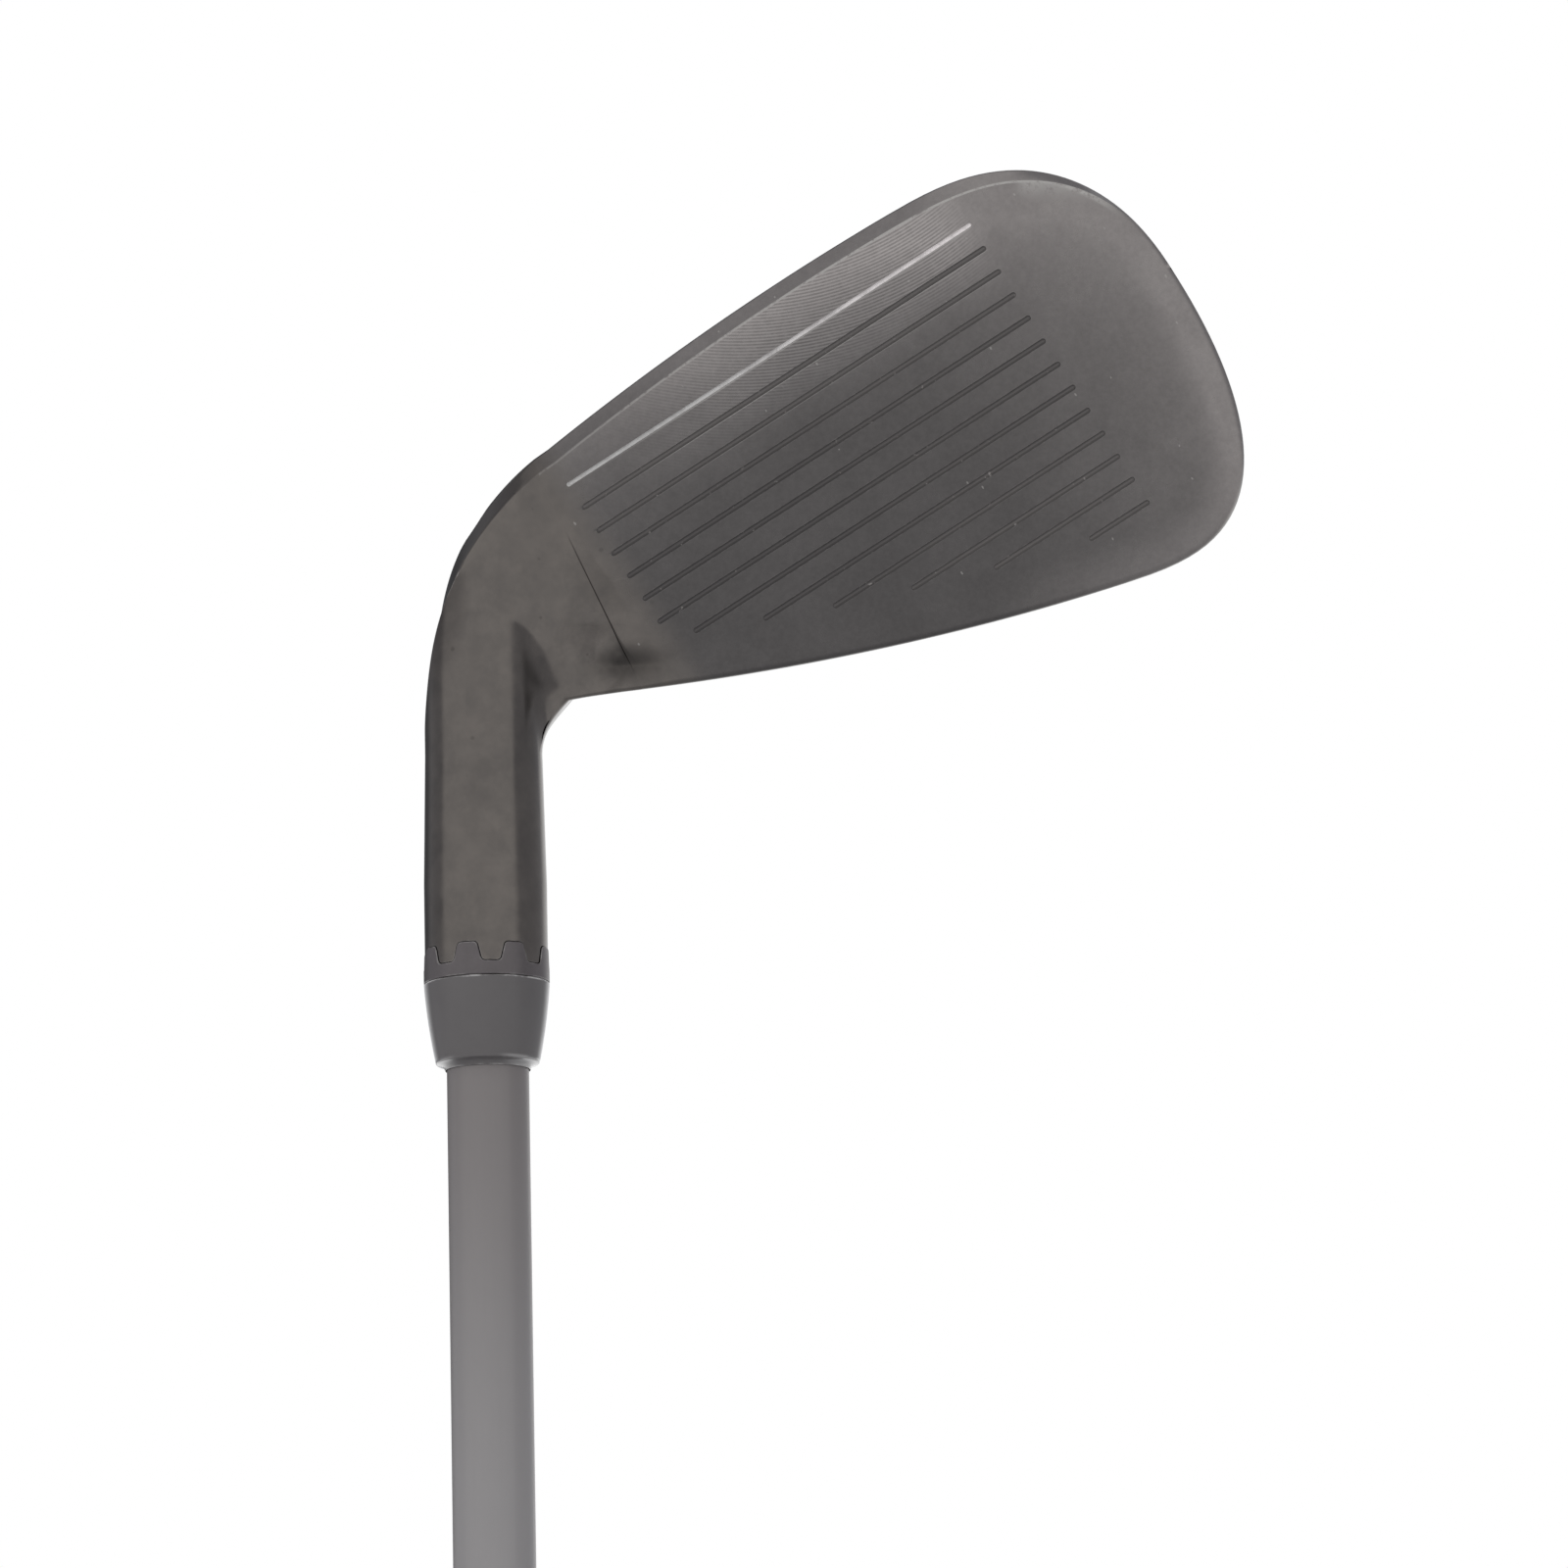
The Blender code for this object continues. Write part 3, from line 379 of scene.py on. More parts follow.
lieTurn = radians(head["lie"])
loftTurn = radians(head["loft"])
toeward = Vector((sin(lieTurn), 0, cos(lieTurn)))
downLie = Vector((cos(lieTurn), 0, -sin(lieTurn)))
upward = downLie * cos(loftTurn) + Vector((0, sin(loftTurn), 0))
outward = downLie * sin(loftTurn) - Vector((0, cos(loftTurn), 0))
faceOrigin = Vector((0, -head["faceForward"], seatZ + head["edgeReach"]))
faceTurn = Matrix((toeward, upward, -outward))  # from the frame to (along, up, behind) the face
neckRadius = hoselRadius - head["neckLoss"]
pivot = Vector((neckRadius + head["crotchRadius"], 0, seatZ + head["hoselLength"]))
bendStart = (pivot - faceOrigin).dot(toeward)

seam = dict(start=0.0077, tilt=7.5, depth=0.0050,
            creaseLow=0.0100, creaseDeep=0.0264, creaseEnd=0.0289, creaseWidth=0.00009,
            spared=(0.0003, 0.0009))
notch = dict(along=0.0038, up=0.0278, turn=30.0, length=0.0034, width=0.0016, depth=0.0009, shade=0.45)


def onFace(u, point):
    return faceOrigin + toeward * u + upward * point[0] - outward * point[1]


def toeFull(u):
    if u <= head["toeStart"]:
        return 1.0
    x = (u - head["toeStart"]) / (head["toeReach"] - head["toeStart"])
    return (1 - min(1.0, x) ** head["toeFullness"]) ** (1 / head["toeRoundness"])


def toplineAt(u):
    x = u / head["toeStart"]
    rise = (head["toplineToe"] - head["toplineHeel"]) * x
    crotch = max(0.0, head["crotchStart"] - u) ** 2 / (2 * head["crotchEase"])
    return head["toplineHeel"] + rise + 4 * head["toplineBow"] * x * (1 - x) + crotch


def leadingEdge(u):
    camber = (u - head["edgeLowest"]) ** 2 / (2 * head["edgeCamber"])
    relief = max(0.0, head["heelReliefStart"] - u) ** 2 / (2 * head["heelReliefRadius"])
    return camber + relief


def outlineAt(u):
    full = toeFull(u)
    return mix(head["toeMid"], leadingEdge(u), full), mix(head["toeMid"], toplineAt(u), full), full


def toeStations(count):
    # even turns of the toe's round, so sections crowd where it closes
    made = []
    for turn in steps(radians(head["toeTip"]), pi / 2, count):
        x = (1 - sin(turn) ** head["toeRoundness"]) ** (1 / head["toeFullness"])
        made.append(mix(head["toeStart"], head["toeReach"], x))
    return made


def toeRim():
    # points round the toe that the face falls away to
    spots = []
    for u in steps(head["rollStart"], head["toeStart"], head["rimSteps"]) + toeStations(head["rimStations"]):
        low, high, full = outlineAt(u)
        spots.append((u, high, 0))
        if full < head["lowRimFrom"]:
            spots.append((u, low, 0))
    tree = KDTree(len(spots))
    for i, spot in enumerate(spots):
        tree.insert(spot, i)
    tree.balance()
    return tree


rim = toeRim()


def faceSink(u, w):
    # how far the front lies behind the flat face: the roll at the toe and the notch at the heel
    far = rim.find((u, w, 0))[2]
    near = max(0.0, 1 - far / head["rollWidth"])
    edge = max(0.0, 1 - far / head["rimWidth"])
    share = ramp(u, head["rollStart"], head["rollFull"])
    edgeShare = ramp(u, head["rimStart"], head["rimFull"])
    long = Vector((u - notch["along"], w - notch["up"])) @ Matrix.Rotation(radians(notch["turn"]), 2)
    dip = exp(-(long.x / notch["length"]) ** 2 - (long.y / notch["width"]) ** 2)
    roll = head["rollDepth"] * near * near * share + head["rimDrop"] * edge * edge * edgeShare
    return roll + notch["depth"] * dip


def soleAt(u):
    # the outline with the sole's depth, as a share of its full depth too, and the muscle's
    low, high, full = outlineAt(u)
    heelLoss = (head["soleDepth"] - head["soleHeelDepth"]) * (1 - ramp(u, bendStart, head["toeStart"] / 2))
    depth = mix(head["soleToeDepth"], head["soleDepth"], full) - heelLoss
    scale = depth / head["soleDepth"]
    return low, high, full, depth, scale, mix(head["toplineDepth"], head["muscleDepth"], scale)


def bladeSection(u):
    low, high, full, depth, scale, muscle = soleAt(u)
    faceLow = low + head["bevelHeight"] * full
    pastHeel = ramp(u, *head["bevelThins"])
    bevel = full * mix(head["bevelHeelDepth"], head["bevelDepth"], pastHeel)
    soleEdge = full * mix(head["edgeEase"], head["soleEdgeEase"], pastHeel)
    midRise = head["soleMidRise"] * min(1.0, head["soleMidHold"] * full)
    rear = easedPath([
        (faceLow, 0),
        (high, 0, head["edgeEase"] * full, 6, 4),
        (high, head["toplineDepth"], head["toplineEase"] * full, 8, 9),
        (low + head["muscleHeight"] * full, muscle, head["muscleEase"], 6, 4),
        (low + head["soleRise"] * full * scale, depth, head["soleEase"], 10, 4),
        (low + midRise, head["soleMidDepth"] * scale, head["soleEase"], 4, 4),
        (low, bevel, soleEdge, 5, 4),
        (faceLow, 0, head["bevelEase"] * full, 4, 1),
        (high, 0),
    ])
    front = []
    for x in steps(0, 1, head["ringPoints"] + 1 - len(rear)):
        closer = head["crowding"] * sin(2 * pi * x) / (2 * pi)  # near both edges
        front.append(rear[-1].lerp(rear[0], x - closer))
    return front, rear[1:-1], head["soleMidDepth"] * scale


# the heel, where the blade turns into the hosel

def leanFrom(x, lean):
    # the hosel's round front, left along a flat that leans back by that angle
    if x > neckRadius * sin(lean):
        return x * tan(lean) - neckRadius / cos(lean)
    return -sqrt(neckRadius ** 2 - max(x, -neckRadius) ** 2)


def hoselFront(x, z):
    rise = ramp(z, head["leanStart"], head["leanEnd"])
    heelFlat = leanFrom(x, radians(mix(head["plateLean"], head["plateLeanHigh"], rise)))
    # under its top the crotch parts the heel's flat from the hosel's flank
    fall = head["crotchFall"] * max(0.0, head["crotchTop"] - z)
    if fall > 0:
        share = ramp(z, head["hoselLength"], head["flankEnd"])
        flank = leanFrom(x, radians(mix(head["flankLean"], head["flankLeanHigh"], share)))
        heelFlat = softMin(flank, heelFlat + fall, min(fall, head["crotchFillet"]))
    return heelFlat + head["heelRetreat"] * ramp(z, head["retreatStart"], head["retreatEnd"])


def withHosel(point):
    z = point.z - seatZ
    offset = outward.x * (point.x - faceOrigin.x) + outward.z * (point.z - faceOrigin.z)
    plane = faceOrigin.y - offset / outward.y
    rise = ramp(z, head["leanStart"], head["retreatEnd"])
    # narrow along the outer side, which stays round
    width = head["heelBlend"] + head["heelBlendGrowth"] * rise * ramp(point.x, *head["blendGrows"])
    return Vector((point.x, softMin(plane, hoselFront(point.x, z), width), point.z))


def sunk(point):
    # a front point pushed in by the roll and the notch
    offset = point - faceOrigin
    return point - outward * faceSink(offset.dot(toeward), offset.dot(upward))


def bladeRing(u):
    front, rear, midDepth = bladeSection(u)
    ring = [onFace(u, point) for point in front]
    back = [onFace(u, point) for point in rear]
    if u < seam["start"]:
        level = ring
        ring = [withHosel(point) for point in ring]
        # both edges come forward with the heel
        for place, point in zip(back, rear):
            if point[0] < head["toeMid"]:
                share = max(0.0, 1 - point[1] / (head["forwardReach"] * midDepth))
                place.y += (ring[0].y - level[0].y) * share
            else:
                place.y += (ring[-1].y - level[-1].y) * max(0.0, 1 - point[1] / head["toplineDepth"])
    ring = [sunk(point) for point in ring]
    draft = head["toeDraft"] * ramp(u, head["rimStart"], head["toeReach"])
    for place, point in zip(back, rear):
        place -= outward * faceSink(u, point[0]) * max(0.0, 1 - 2 * point[1] / head["toplineDepth"])
        place -= toeward * draft * point[1]
    return ring, back


def bendRing(angle):
    done = min(1.0, degrees(angle) / head["bendTurn"])
    share = sin(pi / 2 * done)
    front, back = bladeRing(bendStart)
    turn = pi - lieTurn + angle
    along = Vector((cos(turn), 0, sin(turn)))

    def swung(point, x):
        # a point of the blade's last section, on its way to where it meets the round hosel
        return pivot + along * mix((pivot - point).dot(downLie), pivot.x - x, share)

    ring = []
    for i, point in enumerate(front):
        x = -neckRadius * cos(pi * i / (len(front) - 1))
        ring.append(sunk(withHosel(swung(point, x))))
    whole = [front[-1]] + back + [front[0]]
    lengths = [(b - a).length for a, b in zip(whole, whole[1:])]
    walked = 0.0
    for point, length in zip(back, lengths):
        walked += length
        roundAngle = pi * walked / sum(lengths)
        place = swung(point, neckRadius * cos(roundAngle))
        place.y = mix(point.y, neckRadius * sin(roundAngle), smoothStep(done))
        ring.append(place)
    return ring


def hoselRing(height, frontCount):
    rearCount = head["ringPoints"] - frontCount
    share = (head["hoselLength"] - height) / (head["hoselLength"] - head["neckStart"])
    radius = mix(neckRadius, hoselRadius, min(1.0, share))
    angles = steps(pi, 2 * pi, frontCount - 1) + steps(0, pi, rearCount + 1)[1:-1]
    return [roundPoint(radius, angle, height) for angle in angles]


# toothed rim shared by the collar and the hosel

teeth = dict(count=8, height=0.0022, tipWidth=0.0023, rootWidth=0.0034, turn=-5.0, ease=0.00045, edge=0.00006,
             plain=(0.0065, 0.0045))  # heights of the plain rings past them


def toothPath(offset):
    # (angle, height) round the rim, pushed off the collar's metal by offset
    pitch = 2 * pi * collarRadius / teeth["count"]
    tip, root, top = teeth["tipWidth"] / 2, teeth["rootWidth"] / 2, teeth["height"]
    corners = [(-root, 0), (-tip, top), (tip, top), (root, 0)]
    row = [(-pitch + root, 0)]
    for across, up in corners:
        row.append((across, up, teeth["ease"], 3, 3 if (across, up) == (-tip, top) else 1))
    row.append((pitch - root, 0))
    shape = easedPath(row)
    onward = Vector((pitch, 0))
    shape += [shape[-1].lerp(shape[0] + onward, k / 3) for k in (1, 2)]
    path = []
    for k in range(teeth["count"]):
        start = 2 * pi * k / teeth["count"] + radians(180 + teeth["turn"])
        for before, point, after in zip([shape[-1] - onward] + shape, shape, shape[1:] + [shape[0] + onward]):
            along = (after - before).normalized()
            place = point + Vector((-along.y, along.x)) * offset
            path.append((place.x / collarRadius + start, place.y))
    return path


def roundPoint(radius, angle, height):
    return Vector((radius * cos(angle), radius * sin(angle), seatZ + height))


def toothRings(pairs):
    return [[roundPoint(radius, angle, z) for angle, z in toothPath(offset)] for radius, offset in pairs]


def plainRings(pairs, offset=0):
    # the same points as a toothed ring, level at a height
    angles = [angle for angle, rise in toothPath(offset)]
    return [[roundPoint(radius, angle, height) for angle in angles] for radius, height in pairs]


bore = dict(radius=0.0058, depth=0.0196, endRadius=0.0039, endDepth=0.0271, boltRadius=0.0023,
            pocketRadius=0.0032, pocketDepth=0.0376, pocketReach=0.034, near=0.00005)


def headRings():
    stations = toeStations(head["toeRings"])
    stations += steps(head["toeStart"], seam["start"], head["bladeRings"])[1:]
    stations += steps(seam["start"], bendStart, head["heelRings"])[1:]
    rings = []
    for u in stations:
        front, back = bladeRing(u)
        rings.append(front + back)
    rings += [bendRing(angle) for angle in steps(0, lieTurn, head["bendRings"])[1:]]
    heights = steps(head["hoselTop"], head["neckStart"], head["hoselRings"])
    rings += [hoselRing(z, len(front)) for z in heights]
    edge, inside, end = teeth["edge"], bore["radius"], bore["endRadius"]
    rings += plainRings([(hoselRadius, z) for z in teeth["plain"]], rimGap)
    rings += toothRings([(hoselRadius, rimGap + edge), (hoselRadius - edge, rimGap),
                         (inside + edge, rimGap), (inside, rimGap + edge)])
    rings += plainRings([(inside, teeth["plain"][1]), (inside, bore["depth"]),
                         (end, bore["depth"]), (end, bore["endDepth"])])
    return rings


def headBlank():
    bm = bmesh.new()
    capEnds(bm, loft(bm, headRings()))
    bmesh.ops.recalc_face_normals(bm, faces=bm.faces)
    return bm


def seamEdge(w):
    return seam["start"] - w * tan(radians(seam["tilt"]))


def creaseAt(w):
    # the seam shows as a crease that widens towards the topline and ends in the notch
    low, deep, end = seam["creaseLow"], seam["creaseDeep"], seam["creaseEnd"]
    share = (w - low) / (deep - low) if w < deep else (end - w) / (end - deep)
    return seam["creaseWidth"] * max(0.0, share)


def plateSpace():
    # room for the face plate
    bm = bmesh.new()
    far = 2 * head["toeReach"]
    bmesh.ops.create_cube(bm, size=2.0)
    bmesh.ops.scale(bm, vec=(1, far, 1), verts=bm.verts)
    for w in (seam["creaseLow"], seam["creaseDeep"], seam["creaseEnd"]):
        slicePlane(bm, (0, w, 0), (0, 1, 0))
    for vert in bm.verts:
        w = vert.co.y
        u = far if vert.co.x > 0 else seamEdge(w) - creaseAt(w)
        vert.co = onFace(u, (w, seam["depth"] if vert.co.z > 0 else -seam["depth"]))
    return meshObject("plateSpace", bm, headSteel)


def portTurned(profile, segments):
    # turned shape whose axis stands square to the face, heights behind it
    bm = turned(profile, segments, closed=False)
    bmesh.ops.transform(bm, matrix=portStand, verts=bm.verts)
    return bm


port = dict(along=0.0640, up=0.0330, radius=0.0022, headWall=0.0010, headHeight=0.0012, rimFlare=0.0007,
            socketRadius=0.0014, socketDepth=0.0008, ease=0.0002, shank=0.0026)


def portSurface():
    # depth of the back wall behind the face, at the port
    low, high, full, depth, scale, muscle = soleAt(port["along"])
    start = low + head["muscleHeight"] * full
    return mix(muscle, head["toplineDepth"], (port["up"] - start) / (high - start))


portSeat = portSurface() - port["headHeight"] - port["headWall"]
portStand = Matrix.Translation(onFace(port["along"], (port["up"], 0))) @ faceTurn.transposed().to_4x4()

# scorelines of the face plate, which its finish reads too
plate = dict(lines=13, first=0.0064, pitch=0.00316, width=0.00058, depth=0.00015, chamfer=0.00004,
             over=0.0002, walls=((0.62, 0.85), (0.35, 1.0)),  # shares of the half width and the depth
             paintedWidth=0.00037, heelEnd=0.0093, toeEnd=0.0645, toplineMargin=0.0063, endSteps=8)


# finishes

finish = dict(
    coatDark=(0.099, 0.094, 0.094), coatPale=(0.246, 0.230, 0.226),
    hoselLow=(0.104, 0.096, 0.091), hoselHigh=(0.150, 0.136, 0.126),
    bareSteel=(0.36, 0.35, 0.34), grooveDark=(0.092, 0.087, 0.087), groovePale=(0.134, 0.126, 0.124),
    linePaint=(0.52, 0.515, 0.51), lineBright=(0.80, 0.76, 0.76),
    collarLow=(0.086, 0.077, 0.080), collarHigh=(0.108, 0.097, 0.101),
    ferruleLow=(0.090, 0.084, 0.086), ferruleHigh=(0.100, 0.094, 0.096), ferruleWorn=(0.46, 0.45, 0.45),
    shaftShadedEnd=(0.172, 0.157, 0.156), shaftLitEnd=(0.258, 0.248, 0.251),
    rubberLow=(0.016, 0.016, 0.017), rubberHigh=(0.030, 0.030, 0.031), rubberWorn=(0.075, 0.075, 0.077),
)
# fades over the face, each from where it is 0 to where it is 1
faceFade = dict(
    heel=(0.012, 0.0065), lowEdge=(0.016, 0.010), bevelLean=(0.25, 0.42), bevelToe=(0.070, 0.056),
    rubbedLean=((0.05, 0.13), (0.50, 0.40)), rubbedGrain=(0.34, 0.52), rubbedEdge=(0.0035, 0.0025),
    rubbedToe=(0.052, 0.058), rubbedAlong=(-0.015, 0.055),
    lip=((0.00025, 0.00031), (0.00045, 0.00037)), lipUp=((0.0060, 0.0064), (0.0160, 0.0095)),
    lipAlong=((0.010, 0.030), (0.0647, 0.0641)),
    toplineLean=(0.80, 0.50), toplineUp=(0.020, 0.026), toplineBehind=(0.0030, 0.0015),
)
# cutter's path across the lower face
milling = dict(along=0.0586, up=-0.0341, pitch=0.00037, bright=1.70, fadeUp=(0.0160, 0.0080),
               fadeAlong=((0.006, 0.042), (0.067, 0.060)), fadeLean=(0.96, 0.99))


def tint(name):
    return colour(*finish[name])


def fade(value, name):
    # a pair of fades is a band
    spans = faceFade[name]
    return within(value, *spans) if isinstance(spans[0], tuple) else between(value, *spans)


def facePlace(place):
    return take("Mapping", {"Vector": place, "Location": -(faceTurn @ faceOrigin),
                            "Rotation": faceTurn.to_euler()})


def farFrom(place, spot, keep=(1, 1, 1)):
    return vector("LENGTH", vector("MULTIPLY", vector("SUBTRACT", place, spot), keep), output="Value")


def seamSide(u, w):
    return u + w * tan(radians(seam["tilt"])) - seam["start"]


def acrossLine(w):
    # how far above the middle of the nearest scoreline
    turns = (w - plate["first"]) / plate["pitch"]
    return (turns - calc("ROUND", turns)) * plate["pitch"]


def awayFromSeam(flat):
    # 0 along the seams of the face plate, where metal meets metal and no edge can wear
    u, w, b = parts(flat)
    heel = between(calc("ABSOLUTE", seamSide(u, w)), *seam["spared"])
    return heel * between(calc("ABSOLUTE", b - seam["depth"]), *seam["spared"])


def creaseShade(flat):
    # painted shade in the crease, which opens into the notch
    u, w = parts(flat)[:2]
    wide = calc("EXPONENT", (w - (notch["up"] + 0.0006)) / 0.0012) * 0.0024 + seam["creaseWidth"]
    line = between(calc("ABSOLUTE", seamSide(u, w)) / wide, 1.5, 0.4)
    line = line * between(w, seam["creaseLow"], seam["creaseLow"] + 0.004)
    line = line * between(w, notch["up"] + 0.0022, notch["up"] + 0.0002)
    spot = (notch["along"], notch["up"], 0)
    laid = take("VectorRotate", {"Vector": flat, "Center": spot, "Angle": -radians(notch["turn"])},
                rotation_type="Z_AXIS")
    pool = farFrom(laid, spot, (1 / notch["length"], 1 / notch["width"], 0))
    return largest(line, between(pool, 1.8, 0.2)) * notch["shade"]


def hoselToneAndCreaseShade(place, flat, patches):
    grain = noise(place, 900.0, 5.0, 0.7)
    blotches = useGroup(mottle, place, 400.0, 0.40, 0.60)
    tone = blend(patches * 0.4 + grain * 0.25 + blotches * 0.35, tint("hoselLow"), tint("hoselHigh"))
    pits = useGroup(nicks, place, 420.0, 0.22, 0.12)
    # painted shade of the crease and the notch, with dark pits
    return blend(largest(creaseShade(flat), pits * 0.22), tone, grey(0))


def hoselRough(patches):
    return spread(patches, 0.15, 0.24)


def looking(place, way):
    # how squarely the surface looks that way
    return vector("DOT_PRODUCT", put(place.tree, "NewGeometry", output="Normal"), way, output="Value")


def faceSteelMaterial():
    material, shader, place = newMaterial("faceSteel", roughness=0.33, metallic=1.0)
    flat = facePlace(place)
    u, w, b = parts(flat)
    patches = useGroup(mottle, place, 120.0, 0.40, 0.60)
    # painted sheen for the flat face's reflection: darkest in the middle, paler towards the leading edge and
    # the toe
    lower = calc("EXPONENT", w / -0.006) * (u * 8.4 + 0.58) * 2.3 + 1.0
    outer = largest((u - 0.040) / 0.037, 0.0)
    paintedSheen = (lower * (outer * outer + 1.0) - 1.0) / 1.6
    nearRim = put(place.tree, "Attribute", output="Fac", attribute_name="rimNear")
    byRim = take("MapRange", {"Value": w, "From Min": 0.015, "From Max": 0.034,
                              "To Min": 0.26, "To Max": 0.60})
    tone = blend(calc("MINIMUM", paintedSheen + nearRim * byRim, 1.0), tint("coatDark"), tint("coatPale"))
    grain = noise(place, 1500.0, 5.0, 0.75)
    tone = blend(patches * 0.16 + between(grain, 0.30, 0.70) * 0.34, tone, grey(0.66), "MULTIPLY")
    facing, lean = looking(place, outward), looking(place, -upward)
    # cutter marks along the leading edge
    sweep = farFrom(flat, (milling["along"], milling["up"], 0), (1, 1, 0))
    cut = between(w, *milling["fadeUp"]) * within(u, *milling["fadeAlong"])
    cut = cut * between(facing, *milling["fadeLean"])
    arcs = calc("SINE", sweep * (2 * pi / milling["pitch"])) * cut * between(grain, 0.15, 0.55)
    tone = blend((arcs + 1.0) * 0.5, tone, blend(cut, tone, grey(milling["bright"]), "MULTIPLY"))
    # next to the seam it takes the hosel's finish
    atHeel = fade(u, "heel")
    tone = blend(atHeel, tone, hoselToneAndCreaseShade(place, flat, patches))
    # bevel under the face: painted shade, with a bright rubbed line where it meets the face
    lowEdge = fade(w, "lowEdge")
    bevelShade = fade(lean, "bevelLean") * lowEdge * fade(u, "bevelToe")
    tone = blend(bevelShade, tone, colour(0.72, 0.72, 0.73), "MULTIPLY")
    rubbed = fade(lean, "rubbedLean") * lowEdge * fade(grain, "rubbedGrain")
    camber = u - head["edgeLowest"]
    atEdge = fade(w - camber * camber / (2 * head["edgeCamber"]), "rubbedEdge")
    rubbed = rubbed * largest(atEdge, fade(u, "rubbedToe")) * fade(u, "rubbedAlong")
    # lower scorelines have a painted highlight along a rubbed lip, and the topline's corner is polished pale
    lip = fade(acrossLine(w), "lip") * fade(w, "lipUp") * fade(u, "lipAlong")
    highEdge = fade(facing, "toplineLean") * fade(w, "toplineUp") * fade(b, "toplineBehind")
    worn = useGroup(edgeWear, place, 0.00020, 6.0, 1100.0) * awayFromSeam(flat)
    marks = useGroup(nicks, flat, 430.0, 0.70, 0.055)
    scratches = useGroup(nicks, vector("MULTIPLY", flat, (1.0, 0.22, 1.0)), 180.0, 0.20, 0.035)
    for bare in (rubbed, lip * 0.55, highEdge * 0.6, largest(worn * 0.45, marks * 0.45, scratches * 0.35)):
        tone = blend(bare, tone, tint("bareSteel"))
    rough = take("Mix", {0: atHeel, 2: spread(patches, 0.27, 0.36), 3: hoselRough(patches)},
                 data_type="FLOAT")
    wire(shader, Base_Color=tone, Roughness=rough, Normal=bump(arcs * 0.6 + grain * 0.5, 0.25, 0.00003))
    return material


def headSteelMaterial():
    material, shader, place = newMaterial("headSteel", roughness=0.20, metallic=1.0)
    flat = facePlace(place)
    patches = useGroup(mottle, place, 120.0, 0.40, 0.60)
    tone = hoselToneAndCreaseShade(place, flat, patches)
    # the bevel's painted shade runs on round the heel
    bevelShade = between(looking(place, -upward), 0.44, 0.58) * between(parts(flat)[1], 0.022, 0.010)
    tone = blend(bevelShade, tone, colour(0.70, 0.70, 0.71), "MULTIPLY")
    # darker patches round a spot over the heel
    heelDarkening = between(farFrom(flat, (0.0020, 0.0245, 0), (1, 1, 0)), 0.0085, 0.0010)
    heelDarkening = heelDarkening * useGroup(mottle, place, 260.0, 0.42, 0.60)
    tone = blend(heelDarkening * 0.45, tone, colour(0.50, 0.50, 0.52), "MULTIPLY")
    worn = useGroup(edgeWear, place, 0.00020, 12.0, 900.0) * awayFromSeam(flat)
    marks = useGroup(nicks, place, 230.0, 0.03, 0.05)
    tone = blend(largest(worn * 0.6, marks * 0.4), tone, tint("bareSteel"))
    grain = noise(place, 1500.0, 5.0, 0.75)
    wire(shader, Base_Color=tone, Roughness=hoselRough(patches), Normal=bump(grain, 0.12, 0.00003))
    return material


def grooveMaterial():
    material, shader, place = newMaterial("grooveShade", roughness=0.45, metallic=1.0)
    flecks = between(noise(place, 1300.0, 3.0), 0.66, 0.76)
    u, w = parts(facePlace(place))[:2]
    # paler low, high and towards the toe, with painted shade on the upper wall
    pale = between(w, 0.021, 0.008) + between(w, 0.029, 0.039) * 0.4 + between(u, 0.030, 0.050) * 0.5
    tone = blend(pale, tint("grooveDark"), tint("groovePale"))
    tone = blend(between(acrossLine(w), 0.00002, 0.00012) * 0.32, tone, grey(0))
    tone = blend(flecks, tone, tint("coatPale"))
    wire(shader, Base_Color=tone, Normal=bump(noise(place, 2200.0), 0.3, 0.00004))
    return material


def linePaintMaterial():
    material, shader, place = newMaterial("linePaint", roughness=0.42, metallic=0.3)
    paintedSheen = between(noise(place, 500.0), 0.40, 0.70)
    paint = blend(between(parts(facePlace(place))[0], 0.020, 0.062), tint("linePaint"), tint("lineBright"))
    tone = blend(paintedSheen * 0.35, paint, tint("coatPale"))
    wire(shader, Base_Color=tone, Normal=bump(noise(place, 1800.0), 0.25, 0.00005))
    return material


def turnedSteelMaterial(name, low, high, roughness):
    # lathe marks run round the club's axis
    material, shader, place = newMaterial(name, roughness=roughness, metallic=1.0)
    ridges = 5200.0  # to the metre
    across = farFrom(place, (0, 0, 0), (1, 1, 0)) * ridges + parts(place)[2] * ridges
    lines = take("TexNoise", {"W": across, "Scale": 1.0, "Detail": 2.0}, noise_dimensions="1D")
    patches = useGroup(mottle, place, 240.0, 0.3, 0.7)
    tone = blend((lines + patches) * 0.5, colour(*low), colour(*high))
    tone = blend(useGroup(edgeWear, place, 0.00018, 4.0, 700.0), tone, tint("bareSteel"))
    wire(shader, Base_Color=tone, Roughness=spread(patches, roughness - 0.05, roughness + 0.06),
         Normal=bump(lines, 0.12, 0.00004))
    return material


def collarMaterial():
    material, shader, place = newMaterial("collarMetal", roughness=0.40, metallic=0.35)
    patches = useGroup(mottle, place, 260.0, 0.32, 0.68)
    tone = blend(patches, tint("collarLow"), tint("collarHigh"))
    worn = useGroup(edgeWear, place, 0.00025, 5.0, 650.0)
    marks = useGroup(nicks, place, 420.0, 0.05, 0.09)
    tone = blend(largest(worn, marks * 0.7), tone, tint("bareSteel"))
    wire(shader, Base_Color=tone, Roughness=spread(patches, 0.28, 0.40),
         Normal=bump(noise(place, 2800.0), 0.12, 0.00004))
    return material


